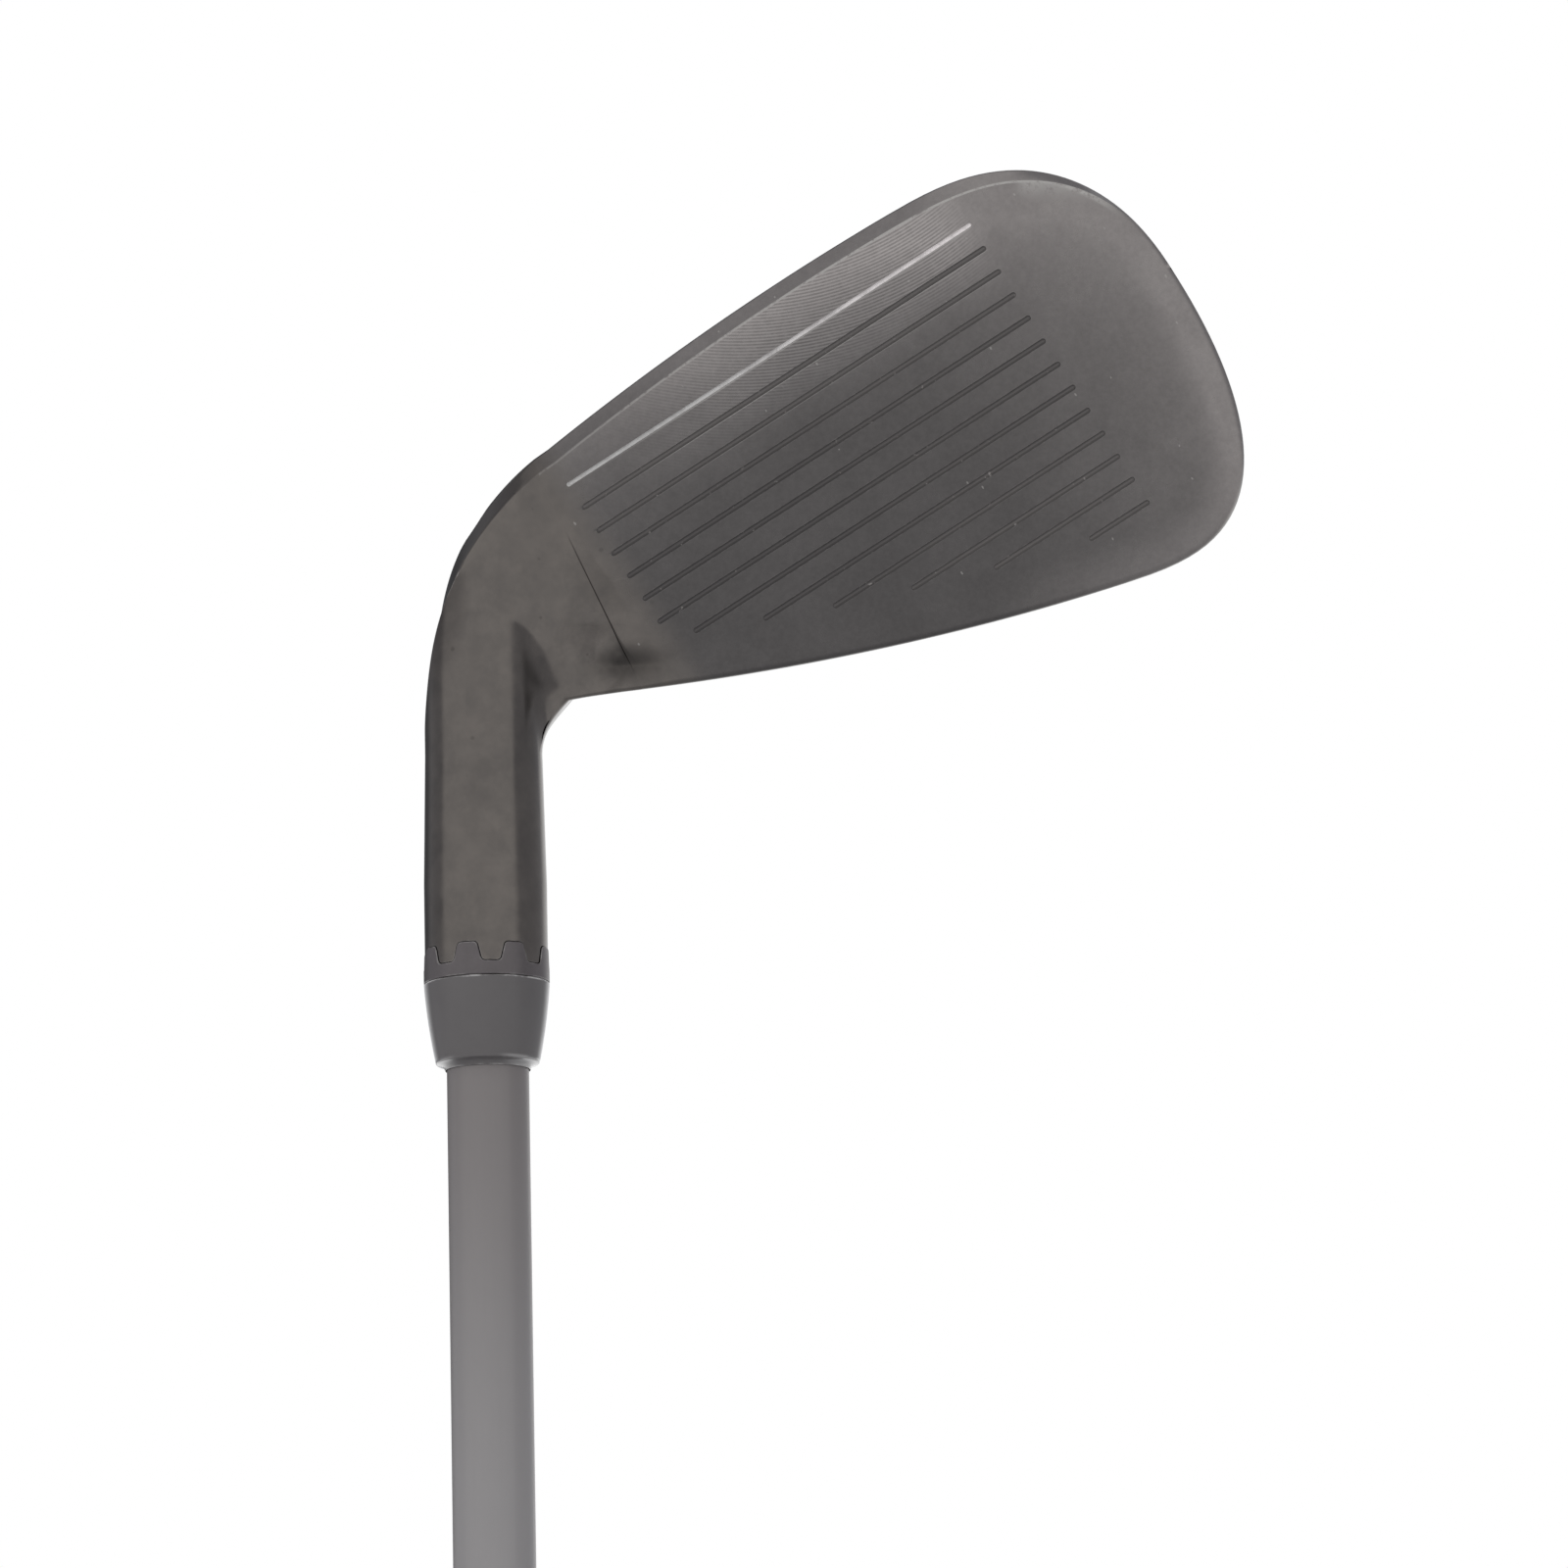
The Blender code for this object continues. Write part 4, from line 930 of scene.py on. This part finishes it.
def shaftMaterial():
    material, shader, place = newMaterial("shaftPaint", roughness=0.42, Coat_Weight=0.25, Coat_Roughness=0.15)
    patches = useGroup(mottle, place, 70.0, 0.3, 0.7)
    # painted shade: darker towards the tip
    tone = blend(between(parts(place)[2], 0.945, 0.885), tint("shaftShadedEnd"), tint("shaftLitEnd"))
    tone = blend(patches * 0.20, tone, grey(0.80), "MULTIPLY")
    fibres = noise(vector("MULTIPLY", place, (1.0, 1.0, 0.04)), 1500.0, 3.0)
    tone = blend(fibres * 0.16, tone, colour(0.75, 0.75, 0.76), "MULTIPLY")
    wire(shader, Base_Color=tone, Roughness=spread(patches, 0.36, 0.46), Normal=bump(fibres, 0.05, 0.00003))
    return material


def rubberMaterial(name, low, high):
    material, shader, place = newMaterial(name, roughness=0.72, Specular_IOR_Level=0.35)
    dust = useGroup(mottle, place, 60.0, 0.3, 0.75)
    tone = blend(dust, colour(*low), colour(*high))
    tone = blend(useGroup(edgeWear, place, 0.0004, 3.0, 200.0) * 0.4, tone, tint("rubberWorn"))
    pores = take("TexVoronoi", {"Vector": place, "Scale": 900.0}, "Distance")
    wire(shader, Base_Color=tone, Roughness=spread(dust, 0.62, 0.82),
         Normal=bump(pores * 0.6 + noise(place, 2200.0), 0.35, 0.00010))
    return material


def plainMaterial(name, low, high, roughness, scale, metallic=0.0, cells=False, grain=0.3):
    # for the carried-over inner parts: two tones, a grain and its bump
    material, shader, place = newMaterial(name, roughness=roughness, metallic=metallic)
    patches = useGroup(mottle, place, scale, 0.35, 0.65)
    tone = blend(patches, colour(*low), colour(*high))
    height = noise(place, scale * 6)
    if cells:
        pits = take("TexVoronoi", {"Vector": place, "Scale": scale * 3}, "Distance")
        tone = blend(between(pits, 0.30, 0.10), tone, colour(*[x * 0.45 for x in low]))
        height = height + pits
    wire(shader, Base_Color=tone, Roughness=spread(patches, roughness - 0.06, roughness + 0.06),
         Normal=bump(height, grain, 0.0001))
    return material


faceSteel = faceSteelMaterial()
headSteel = headSteelMaterial()
grooveShade = grooveMaterial()
linePaint = linePaintMaterial()
boreSteel = turnedSteelMaterial("boreSteel", (0.16, 0.155, 0.15), (0.26, 0.25, 0.245), 0.36)
boltSteel = turnedSteelMaterial("boltSteel", (0.13, 0.13, 0.135), (0.20, 0.20, 0.21), 0.32)
portSteel = turnedSteelMaterial("portSteel", (0.09, 0.09, 0.09), (0.14, 0.138, 0.136), 0.34)
collarMetal = collarMaterial()
shaftPaint = shaftMaterial()
gripRubber = rubberMaterial("gripRubber", finish["rubberLow"], finish["rubberHigh"])
capRubber = rubberMaterial("capRubber", (0.020, 0.020, 0.021), (0.034, 0.034, 0.035))
print("finishes ready")


# head body

def boltPocket():
    low, web, out = bore["endDepth"] - cutOver, bore["pocketDepth"], bore["pocketDepth"] + bore["pocketReach"]
    narrow, wide = bore["boltRadius"], bore["pocketRadius"]
    profile = [(0, low), (narrow, low), (narrow, web), (wide, web), (wide, out), (0, out)]
    return meshObject("boltPocket", turned(profile, 64, False, seatZ), boreSteel)


def portRecess():
    wide = port["radius"] + port["headWall"] + gaps["turn"]
    top, flare = portSurface(), port["rimFlare"]
    profile = [(0, portSeat), (wide, portSeat), (wide, top - flare)]
    profile += [(wide + flare, top + flare), (0, top + flare)]
    return meshObject("portRecess", portTurned(profile, 64), headSteel)


def makeHeadBody():
    bm = headBlank()
    wide, deep = bore["radius"] + bore["near"], bore["endDepth"] + 2 * bore["near"]
    for face in bm.faces:
        spot = face.calc_center_median()
        if hypot(spot.x, spot.y) < wide and spot.z < seatZ + deep:
            face.material_index = 1
    body = meshObject("headBody", bm, headSteel, boreSteel)
    for cutter in (plateSpace(), boltPocket(), portRecess()):
        carve(body, cutter)
    seatPiece(body, "head", "head_body")


# face plate

def capsule(start, end, w, half, depth):
    ring = []
    for u, first in ((end, -pi / 2), (start, pi / 2)):
        for angle in steps(first, first + pi, plate["endSteps"]):
            ring.append(onFace(u + half * cos(angle), (w + half * sin(angle), depth)))
    return ring


def lineStart(w):
    u, step = plate["toeEnd"], plate["width"]
    while u - step > plate["heelEnd"] and toplineAt(u - step) - w > plate["toplineMargin"]:
        u -= step
    return u


def scorelineCutter(w, width, material):
    half, lip, over = width / 2, plate["chamfer"], plate["over"]
    start, end = lineStart(w) + half, plate["toeEnd"] - half
    profile = [(half + lip + over, -over), (half, lip)]
    profile += [(half * wide, plate["depth"] * deep) for wide, deep in plate["walls"]]
    bm = bmesh.new()
    capEnds(bm, loft(bm, [capsule(start, end, w, wide, deep) for wide, deep in profile]))
    return meshObject("scoreline", bm, material)


def makeFacePlate():
    bm = headBlank()
    tilt = radians(seam["tilt"])
    for spot, away in ((onFace(0, (0, seam["depth"])), -outward),
                       (onFace(seam["start"], (0, 0)), -(toeward * cos(tilt) + upward * sin(tilt)))):
        slicePlane(bm, spot, away, clear_outer=True)
        bmesh.ops.holes_fill(bm, edges=[edge for edge in bm.edges if edge.is_boundary], sides=0)
    face = meshObject("facePlate", bm, faceSteel)
    for i in range(plate["lines"]):
        width, inside = (plate["paintedWidth"], linePaint) if i == 0 else (plate["width"], grooveShade)
        carve(face, scorelineCutter(plate["first"] + i * plate["pitch"], width, inside))
    # how near each point lies to the rim of the toe, for the painted sheen along that edge
    near = face.data.attributes.new("rimNear", "FLOAT", "POINT")
    for i, vert in enumerate(face.data.vertices):
        offset = vert.co - faceOrigin
        u, w = offset.dot(toeward), offset.dot(upward)
        share = ramp(u, head["rollStart"], head["rollFull"])
        near.data[i].value = share * smoothStep(1 - rim.find((u, w, 0))[2] / head["rollWidth"])
    seatPiece(face, "head", "face_cup")


# hosel adapter with its toothed collar

collar = dict(height=0.00156, tubeRadius=0.00565, shoulder=0.0193, endRadius=0.0036, top=0.0255, stop=0.0183,
              bore=0.00485, threadBore=0.0023, ease=0.0003, skirt=-0.0006, tubeFrom=0.0030)


def makeCollar():
    ease, edge, foot = collar["ease"], teeth["edge"], -collar["height"]
    tube, end, shoulder, top = collar["tubeRadius"], collar["endRadius"], collar["shoulder"], collar["top"]
    thread, hole, stop = collar["threadBore"], collar["bore"], collar["stop"]
    skirt = [(collarRadius - edge, foot), (collarRadius, foot + edge), (collarRadius, collar["skirt"])]
    toothed = [(collarRadius, -edge), (collarRadius - edge, 0), (tube, 0)]
    inside = [(tube, collar["tubeFrom"]), (tube, shoulder - ease), (tube - ease, shoulder), (end, shoulder),
              (end, top - ease), (end - ease, top), (thread + ease, top), (thread, top - ease),
              (thread, stop), (hole, stop), (hole, foot + ease), (hole + ease, foot)]
    bm = bmesh.new()
    loft(bm, plainRings(skirt) + toothRings(toothed) + plainRings(inside), closed=True)
    seatPiece(meshObject("keyedCollar", bm, collarMetal), "club", "adapter_sleeve")


# ferrule

ferrule = dict(top=-0.00160, base=-0.0109, taper=0.00125, bulge=0.00015, ease=0.00012, rimEase=0.00022,
               seatRadius=0.00520, seatDrop=0.00020, lipRadius=0.00500, lipLength=0.0007, lipDrop=0.0002,
               lipTaper=0.0001, bore=0.00485, sideSteps=16, footSteps=5, segments=128)


def ferruleMaterial():
    material, shader, place = newMaterial("ferrulePlastic", roughness=0.38, Coat_Roughness=0.08, Coat_IOR=2.0)
    patches = useGroup(mottle, place, 180.0, 0.3, 0.7)
    tone = blend(patches, tint("ferruleLow"), tint("ferruleHigh"))
    x, y, z = parts(place)
    top, foot = seatZ + ferrule["top"], seatZ + ferrule["base"]
    worn = useGroup(edgeWear, place, 0.00022, 4.0, 600.0)
    rubbed = between(z, top - 0.00030, top - 0.00014) * between(noise(place, 520.0, 3.0), 0.44, 0.62)
    for bare in (worn, rubbed):
        tone = blend(bare * 0.8, tone, tint("ferruleWorn"))
    # painted glare of the backdrop along both sides
    glance = put(place.tree, "LayerWeight", {"Blend": 0.5}, "Facing")
    tone = blend(between(glance, 0.58, 0.98) * 0.9, tone, grey(0.95))
    # the rounded foot is polished at its sides
    gloss = between(z, foot + 0.0005, foot + 0.0002) * between(calc("ABSOLUTE", x), 0.0022, 0.0042)
    wire(shader, Base_Color=tone, Roughness=spread(patches, 0.33, 0.44), Coat_Weight=gloss,
         Normal=bump(noise(place, 1900.0), 0.08, 0.00004))
    return material


def makeFerrule():
    top, base, ease, footEase = ferrule["top"], ferrule["base"], ferrule["ease"], ferrule["rimEase"]
    inside, lip, seat = ferrule["bore"], ferrule["lipRadius"], base - ferrule["seatDrop"]
    lipEnd = base - ferrule["lipLength"]
    profile = [(inside, top), (collarRadius - ease, top), (collarRadius, top - ease)]
    for x in steps(0, 1, ferrule["sideSteps"])[1:]:
        swell = 4 * ferrule["bulge"] * x * (1 - x)
        profile.append((collarRadius - ferrule["taper"] * x + swell, mix(top - ease, base + footEase, x)))
    # rounded foot, a shallow cone under it and a thin lip on the shaft
    low = collarRadius - ferrule["taper"]
    foot = quarter(ferrule["footSteps"])[1:]
    profile += [(low - footEase * across, base + footEase - footEase * down) for down, across in foot]
    profile += [(ferrule["seatRadius"], seat), (lip, seat - ferrule["lipDrop"]),
                (lip - ferrule["lipTaper"], lipEnd), (inside, lipEnd)]
    bm = turned(profile, ferrule["segments"], base=seatZ)
    seatPiece(meshObject("taperedFerrule", bm, ferruleMaterial()), "club", "ferrule", 28.0)


# shaft

shaft = dict(tipRadius=0.0047, tipWall=0.0017, straightFrom=0.819, buttRadius=0.0076, buttWall=0.0011,
             ease=0.0002, rings=24, tipRings=6, segments=96)


def shaftRadius(z):
    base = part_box("shaft")[0].z
    share = min(1.0, max(0.0, (z - base) / (shaft["straightFrom"] - base)))
    return mix(shaft["buttRadius"], shaft["tipRadius"], share)


def makeShaft():
    low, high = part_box("shaft")[0].z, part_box("shaft")[1].z
    ease, bend, butt, tip = shaft["ease"], shaft["straightFrom"], shaft["buttRadius"], shaft["tipRadius"]
    heights = steps(low + ease, bend, shaft["rings"]) + steps(bend, high - ease, shaft["tipRings"])[1:]
    profile = [(butt - shaft["buttWall"], low), (butt - ease, low)] + [(shaftRadius(z), z) for z in heights]
    tipBore = tip - shaft["tipWall"]
    profile += [(tip - ease, high), (tipBore, high), (tipBore, bend)]
    seatPiece(meshObject("taperedShaft", turned(profile, shaft["segments"]), shaftPaint), "club", "shaft")


# grip: a strip wound round a tapered sleeve

grip = dict(buttRadius=0.0157, neckLength=0.030, neckRadius=0.0122, mouthRadius=0.0088, mouthEase=0.0008,
            wrapPitch=0.0215, wrapFrom=0.004, wrapTo=0.006, wrapFade=0.004,
            grooveWidth=0.0020, grooveDepth=0.0007, clearance=0.00055, edge=0.0003, skin=0.0002,
            rings=330, segments=84)


def gripRadius(z, low, high):
    neck = high - grip["neckLength"]
    if z <= neck:
        return mix(grip["buttRadius"], grip["neckRadius"], (z - low) / (neck - low))
    return mix(grip["neckRadius"], grip["mouthRadius"], (z - neck) / grip["neckLength"])


def makeGrip():
    low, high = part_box("grip_cap")[1].z + gaps["bond"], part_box("grip_sleeve")[1].z
    ease, edge, mouth = grip["mouthEase"], grip["edge"], grip["mouthRadius"]
    corner = cornerShare * ease
    profile = [(shaftRadius(low) + grip["clearance"], low), (grip["buttRadius"] - edge, low)]
    profile += [(gripRadius(z, low, high), z) for z in steps(low + edge, high - ease, grip["rings"])]
    profile += [(mouth - corner, high - corner), (mouth - ease, high)]
    profile += [(shaftRadius(high) + grip["clearance"], high)]
    bm = turned(profile, grip["segments"])
    wrapLow, wrapHigh = low + grip["wrapFrom"], high - grip["wrapTo"]
    for vert in bm.verts:
        radius = hypot(vert.co.x, vert.co.y)
        z = vert.co.z
        if radius < gripRadius(z, low, high) - grip["skin"] or not wrapLow < z < wrapHigh:
            continue
        turn = atan2(vert.co.y, vert.co.x) / (2 * pi)
        phase = (z / grip["wrapPitch"] - turn) % 1.0
        gap = min(phase, 1 - phase) * grip["wrapPitch"]
        # a soft groove where the strip's edges meet
        dip = smoothStep(1 - gap / grip["grooveWidth"]) * grip["grooveDepth"]
        inWrap = smoothStep((z - wrapLow) / grip["wrapFade"]) * smoothStep((wrapHigh - z) / grip["wrapFade"])
        vert.co.xy *= (radius - dip * inWrap) / radius
    seatPiece(meshObject("gripSleeve", bm, gripRubber), "club", "grip_sleeve", 60.0)


cap = dict(ease=0.0014, edge=0.0003, ventRadius=0.0018, ventEase=0.0006, easeSteps=8, segments=96,
           ringRadius=0.0105, ringWidth=0.0009, ringDepth=0.0005,
           ringShape=((1.0, 0), (0.5, 1), (-0.5, 1), (-1.0, 0)))


def makeCap():
    low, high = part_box("grip_cap")[0].z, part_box("grip_cap")[1].z
    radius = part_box("grip_cap")[1].x
    ease, edge, vent = cap["ease"], cap["edge"], cap["ventRadius"]
    profile = [(vent, high), (radius - edge, high), (radius, high - edge)]
    for down, across in quarter(cap["easeSteps"]):
        profile.append((radius - ease * across, low + ease - ease * down))
    for across, up in cap["ringShape"]:
        profile.append((cap["ringRadius"] + across * cap["ringWidth"], low + up * cap["ringDepth"]))
    profile += [(vent + cap["ventEase"], low), (vent, low + cap["ventEase"])]
    seatPiece(meshObject("gripCap", turned(profile, cap["segments"]), capRubber), "club", "grip_cap", 50.0)


# bolt and port screw

bolt = dict(radius=0.0020, tip=0.0192, headBase=0.0390, headRadius=0.0029, headHeight=0.0030, ease=0.0004,
            socketRadius=0.0018, socketDepth=0.0021, pitch=0.0007, threadDepth=0.0003, threadEnd=0.0262,
            crest=(0.4, 0.55), runOut=0.0006, tipEase=0.0003, headEdge=0.0001, segments=72)


def hexSocket(radius, low, high, stand=Matrix.Identity(4)):
    bm = bmesh.new()
    bmesh.ops.create_cone(bm, cap_ends=True, segments=6, radius1=radius, radius2=radius, depth=high - low)
    bmesh.ops.translate(bm, vec=(0, 0, (low + high) / 2), verts=bm.verts)
    bmesh.ops.transform(bm, matrix=stand, verts=bm.verts)
    return meshObject("hexSocket", bm, boltSteel)


def easedTop(radius, top, ease):
    corner = cornerShare * ease
    return [(radius, top - ease), (radius - corner, top - corner), (radius - ease, top), (0, top)]


def makeBolt():
    crest, base, wide, edge = bolt["radius"], bolt["headBase"], bolt["headRadius"], bolt["headEdge"]
    root = crest - bolt["threadDepth"]
    profile = [(0, bolt["tip"]), (root - bolt["tipEase"], bolt["tip"])]
    z = bolt["tip"] + bolt["tipEase"]
    while z < bolt["threadEnd"]:
        profile += [(root, z)] + [(crest, z + bolt["pitch"] * share) for share in bolt["crest"]]
        z += bolt["pitch"]
    top = base + bolt["headHeight"]
    profile += [(root, z), (crest, z + bolt["runOut"]), (crest, base)]
    profile += [(wide - edge, base), (wide, base + edge)] + easedTop(wide, top, bolt["ease"])
    made = meshObject("hoselBolt", turned(profile, bolt["segments"], False, seatZ), boltSteel)
    carve(made, hexSocket(bolt["socketRadius"], seatZ + top - bolt["socketDepth"], seatZ + top + cutOver))
    seatPiece(made, "bolt", "hosel_bolt")


def makePortScrew():
    ease, narrow = port["ease"], port["radius"]
    wide = narrow + port["headWall"]
    low, seat = portSeat - port["shank"], portSeat + gaps["bond"]
    top = seat + port["headHeight"]
    profile = [(0, low), (narrow - ease, low), (narrow, low + ease), (narrow, seat), (wide, seat)]
    profile += easedTop(wide, top, ease)
    made = meshObject("portScrew", portTurned(profile, bolt["segments"]), portSteel)
    carve(made, hexSocket(port["socketRadius"], top - port["socketDepth"], top + cutOver, portStand))
    seatPiece(made, "head", "port_screw")


for make in (makeHeadBody, makeFacePlate, makeCollar, makeFerrule, makeShaft, makeGrip, makeCap,
             makeBolt, makePortScrew):
    make()

# inner parts keep their solids and get their own finish
inner = dict(
    bolt_washer=turnedSteelMaterial("washerSteel", (0.42, 0.42, 0.43), (0.58, 0.58, 0.59), 0.30),
    bolt_retainer=plainMaterial("retainerNylon", (0.62, 0.61, 0.58), (0.74, 0.73, 0.70), 0.50, 420.0,
                                grain=0.15),
    toe_weight=plainMaterial("weightSteel", (0.30, 0.29, 0.28), (0.40, 0.39, 0.38), 0.42, 160.0,
                             metallic=1.0),
    core_filler=plainMaterial("coreFoam", (0.26, 0.27, 0.29), (0.34, 0.35, 0.37), 0.80, 300.0,
                              cells=True, grain=0.6),
    tip_plug=plainMaterial("plugCork", (0.50, 0.36, 0.22), (0.68, 0.52, 0.36), 0.78, 420.0,
                           cells=True, grain=0.6),
    grip_tape=plainMaterial("tapePaper", (0.70, 0.66, 0.57), (0.80, 0.77, 0.69), 0.70, 240.0, grain=0.4),
)
for node, material in inner.items():
    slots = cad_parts[node].data.materials
    slots.clear()
    slots.append(material)
print("inner parts finished:", ", ".join(inner))


# studio

studio = dict(
    front=(0, -1, 0), frontLevel=1.0, sideColour=(0.49, 0.495, 0.52), sideFrom=0.34, sideTo=0.20,
    backLevel=1.0, leftShare=0.25, darkFacing=(-0.30, -0.70), darkAcross=(-0.30, -0.42),
    whiteFacing=(-0.80, -0.90), whiteAcross=(-0.25, -0.17),
    floorColour=(0.86, 0.86, 0.855), floorSpeckle=0.985, floorRadius=12.0, floorFade=(0.5, 2.6),
    keyDirection=(-0.39, -0.75, 0.54), keyAim=(0.035, 0.020), keyDistance=1.7, keySize=1.5, keyLevel=0.8,
)


def studioWorld():
    world = bpy.data.worlds.new("studio")
    world.use_nodes = True
    tree = world.node_tree
    aim = put(tree, "TexCoord", output="Generated")
    facing = vector("DOT_PRODUCT", aim, studio["front"], output="Value")
    ahead = between(facing, studio["sideTo"], studio["sideFrom"])
    level = blend(ahead, colour(*studio["sideColour"]), grey(studio["frontLevel"]))
    path = siblings(put(tree, "LightPath"))
    across = parts(aim)[0]
    # metal sees a dark room behind on the left and the white backdrop straight behind
    glossy = path["Is Glossy Ray"]
    dark = between(facing, *studio["darkFacing"]) * between(across, *studio["darkAcross"]) * glossy
    level = blend(dark, level, colour(*[x * studio["leftShare"] for x in studio["sideColour"]]))
    behind = between(facing, *studio["whiteFacing"]) * between(across, *studio["whiteAcross"]) * glossy
    white = largest(path["Is Camera Ray"], path["Is Transmission Ray"], behind)
    fill(tree.nodes["Background"].inputs, {"Color": blend(white, level, grey(studio["backLevel"]))})
    scene.world = world


def studioFloor():
    bm = bmesh.new()
    bmesh.ops.create_circle(bm, cap_ends=True, segments=96, radius=studio["floorRadius"])
    material, shader, place = newMaterial("paleFloor", roughness=0.9, Specular_IOR_Level=0.1)
    speckle = useGroup(mottle, place, 6.0, 0.3, 0.7)
    dim = colour(*[x * studio["floorSpeckle"] for x in studio["floorColour"]])
    wire(shader, Base_Color=blend(speckle, colour(*studio["floorColour"]), dim))
    # the floor fades into the white backdrop away from the club
    far = between(farFrom(place, (0, 0, 0)), *studio["floorFade"])
    path = siblings(put(place.tree, "LightPath"))
    seen = largest(path["Is Camera Ray"], path["Is Glossy Ray"], path["Is Transmission Ray"])
    glow = put(place.tree, "Emission", {"Color": grey(1), "Strength": 1.0})
    mixed = take("MixShader", {0: far * seen, 1: Value(shader.outputs[0]), 2: glow})
    fill(place.tree.nodes["Material Output"].inputs, {"Surface": mixed})
    meshObject("studioFloor", bm, material)


def studioLamp():
    towards = Vector(studio["keyDirection"]).normalized()
    lamp = bpy.data.lights.new("keyLamp", "AREA")
    lamp.shape = "DISK"
    lamp.size = studio["keySize"]
    lamp.energy = studio["keyLevel"] * (pi * studio["keySize"] / 2) ** 2
    made = bpy.data.objects.new("keyLamp", lamp)
    along, up = studio["keyAim"]
    spot = onFace(along, (up, 0)) + towards * studio["keyDistance"]
    made.matrix_world = Matrix.Translation(spot) @ towards.to_track_quat("Z", "Y").to_matrix().to_4x4()
    made.visible_glossy = False  # metal reflects the studio, not the lamp
    scene.collection.objects.link(made)


shot = dict(azimuth=11.0, below=11.0, roll=-1.178, distance=0.950, lens=191.1, near=0.01,
            target=(0.035117, 0, 0.970729))


def addCamera():
    azimuth, below, roll = (radians(shot[name]) for name in ("azimuth", "below", "roll"))
    turn = Matrix.Rotation(azimuth, 4, "Z") @ Matrix.Rotation(pi / 2 + below, 4, "X")
    turn = turn @ Matrix.Rotation(roll, 4, "Z")
    camera = bpy.data.objects.new("camera", bpy.data.cameras.new("camera"))
    camera.data.lens = shot["lens"]
    camera.data.clip_start = shot["near"]
    back = Matrix.Translation((0, 0, shot["distance"]))
    camera.matrix_world = Matrix.Translation(shot["target"]) @ turn @ back
    scene.collection.objects.link(camera)
    scene.camera = camera


for make in (studioWorld, studioFloor, studioLamp, addCamera):
    make()
scene.view_settings.view_transform = "Standard"
print("studio and camera set")
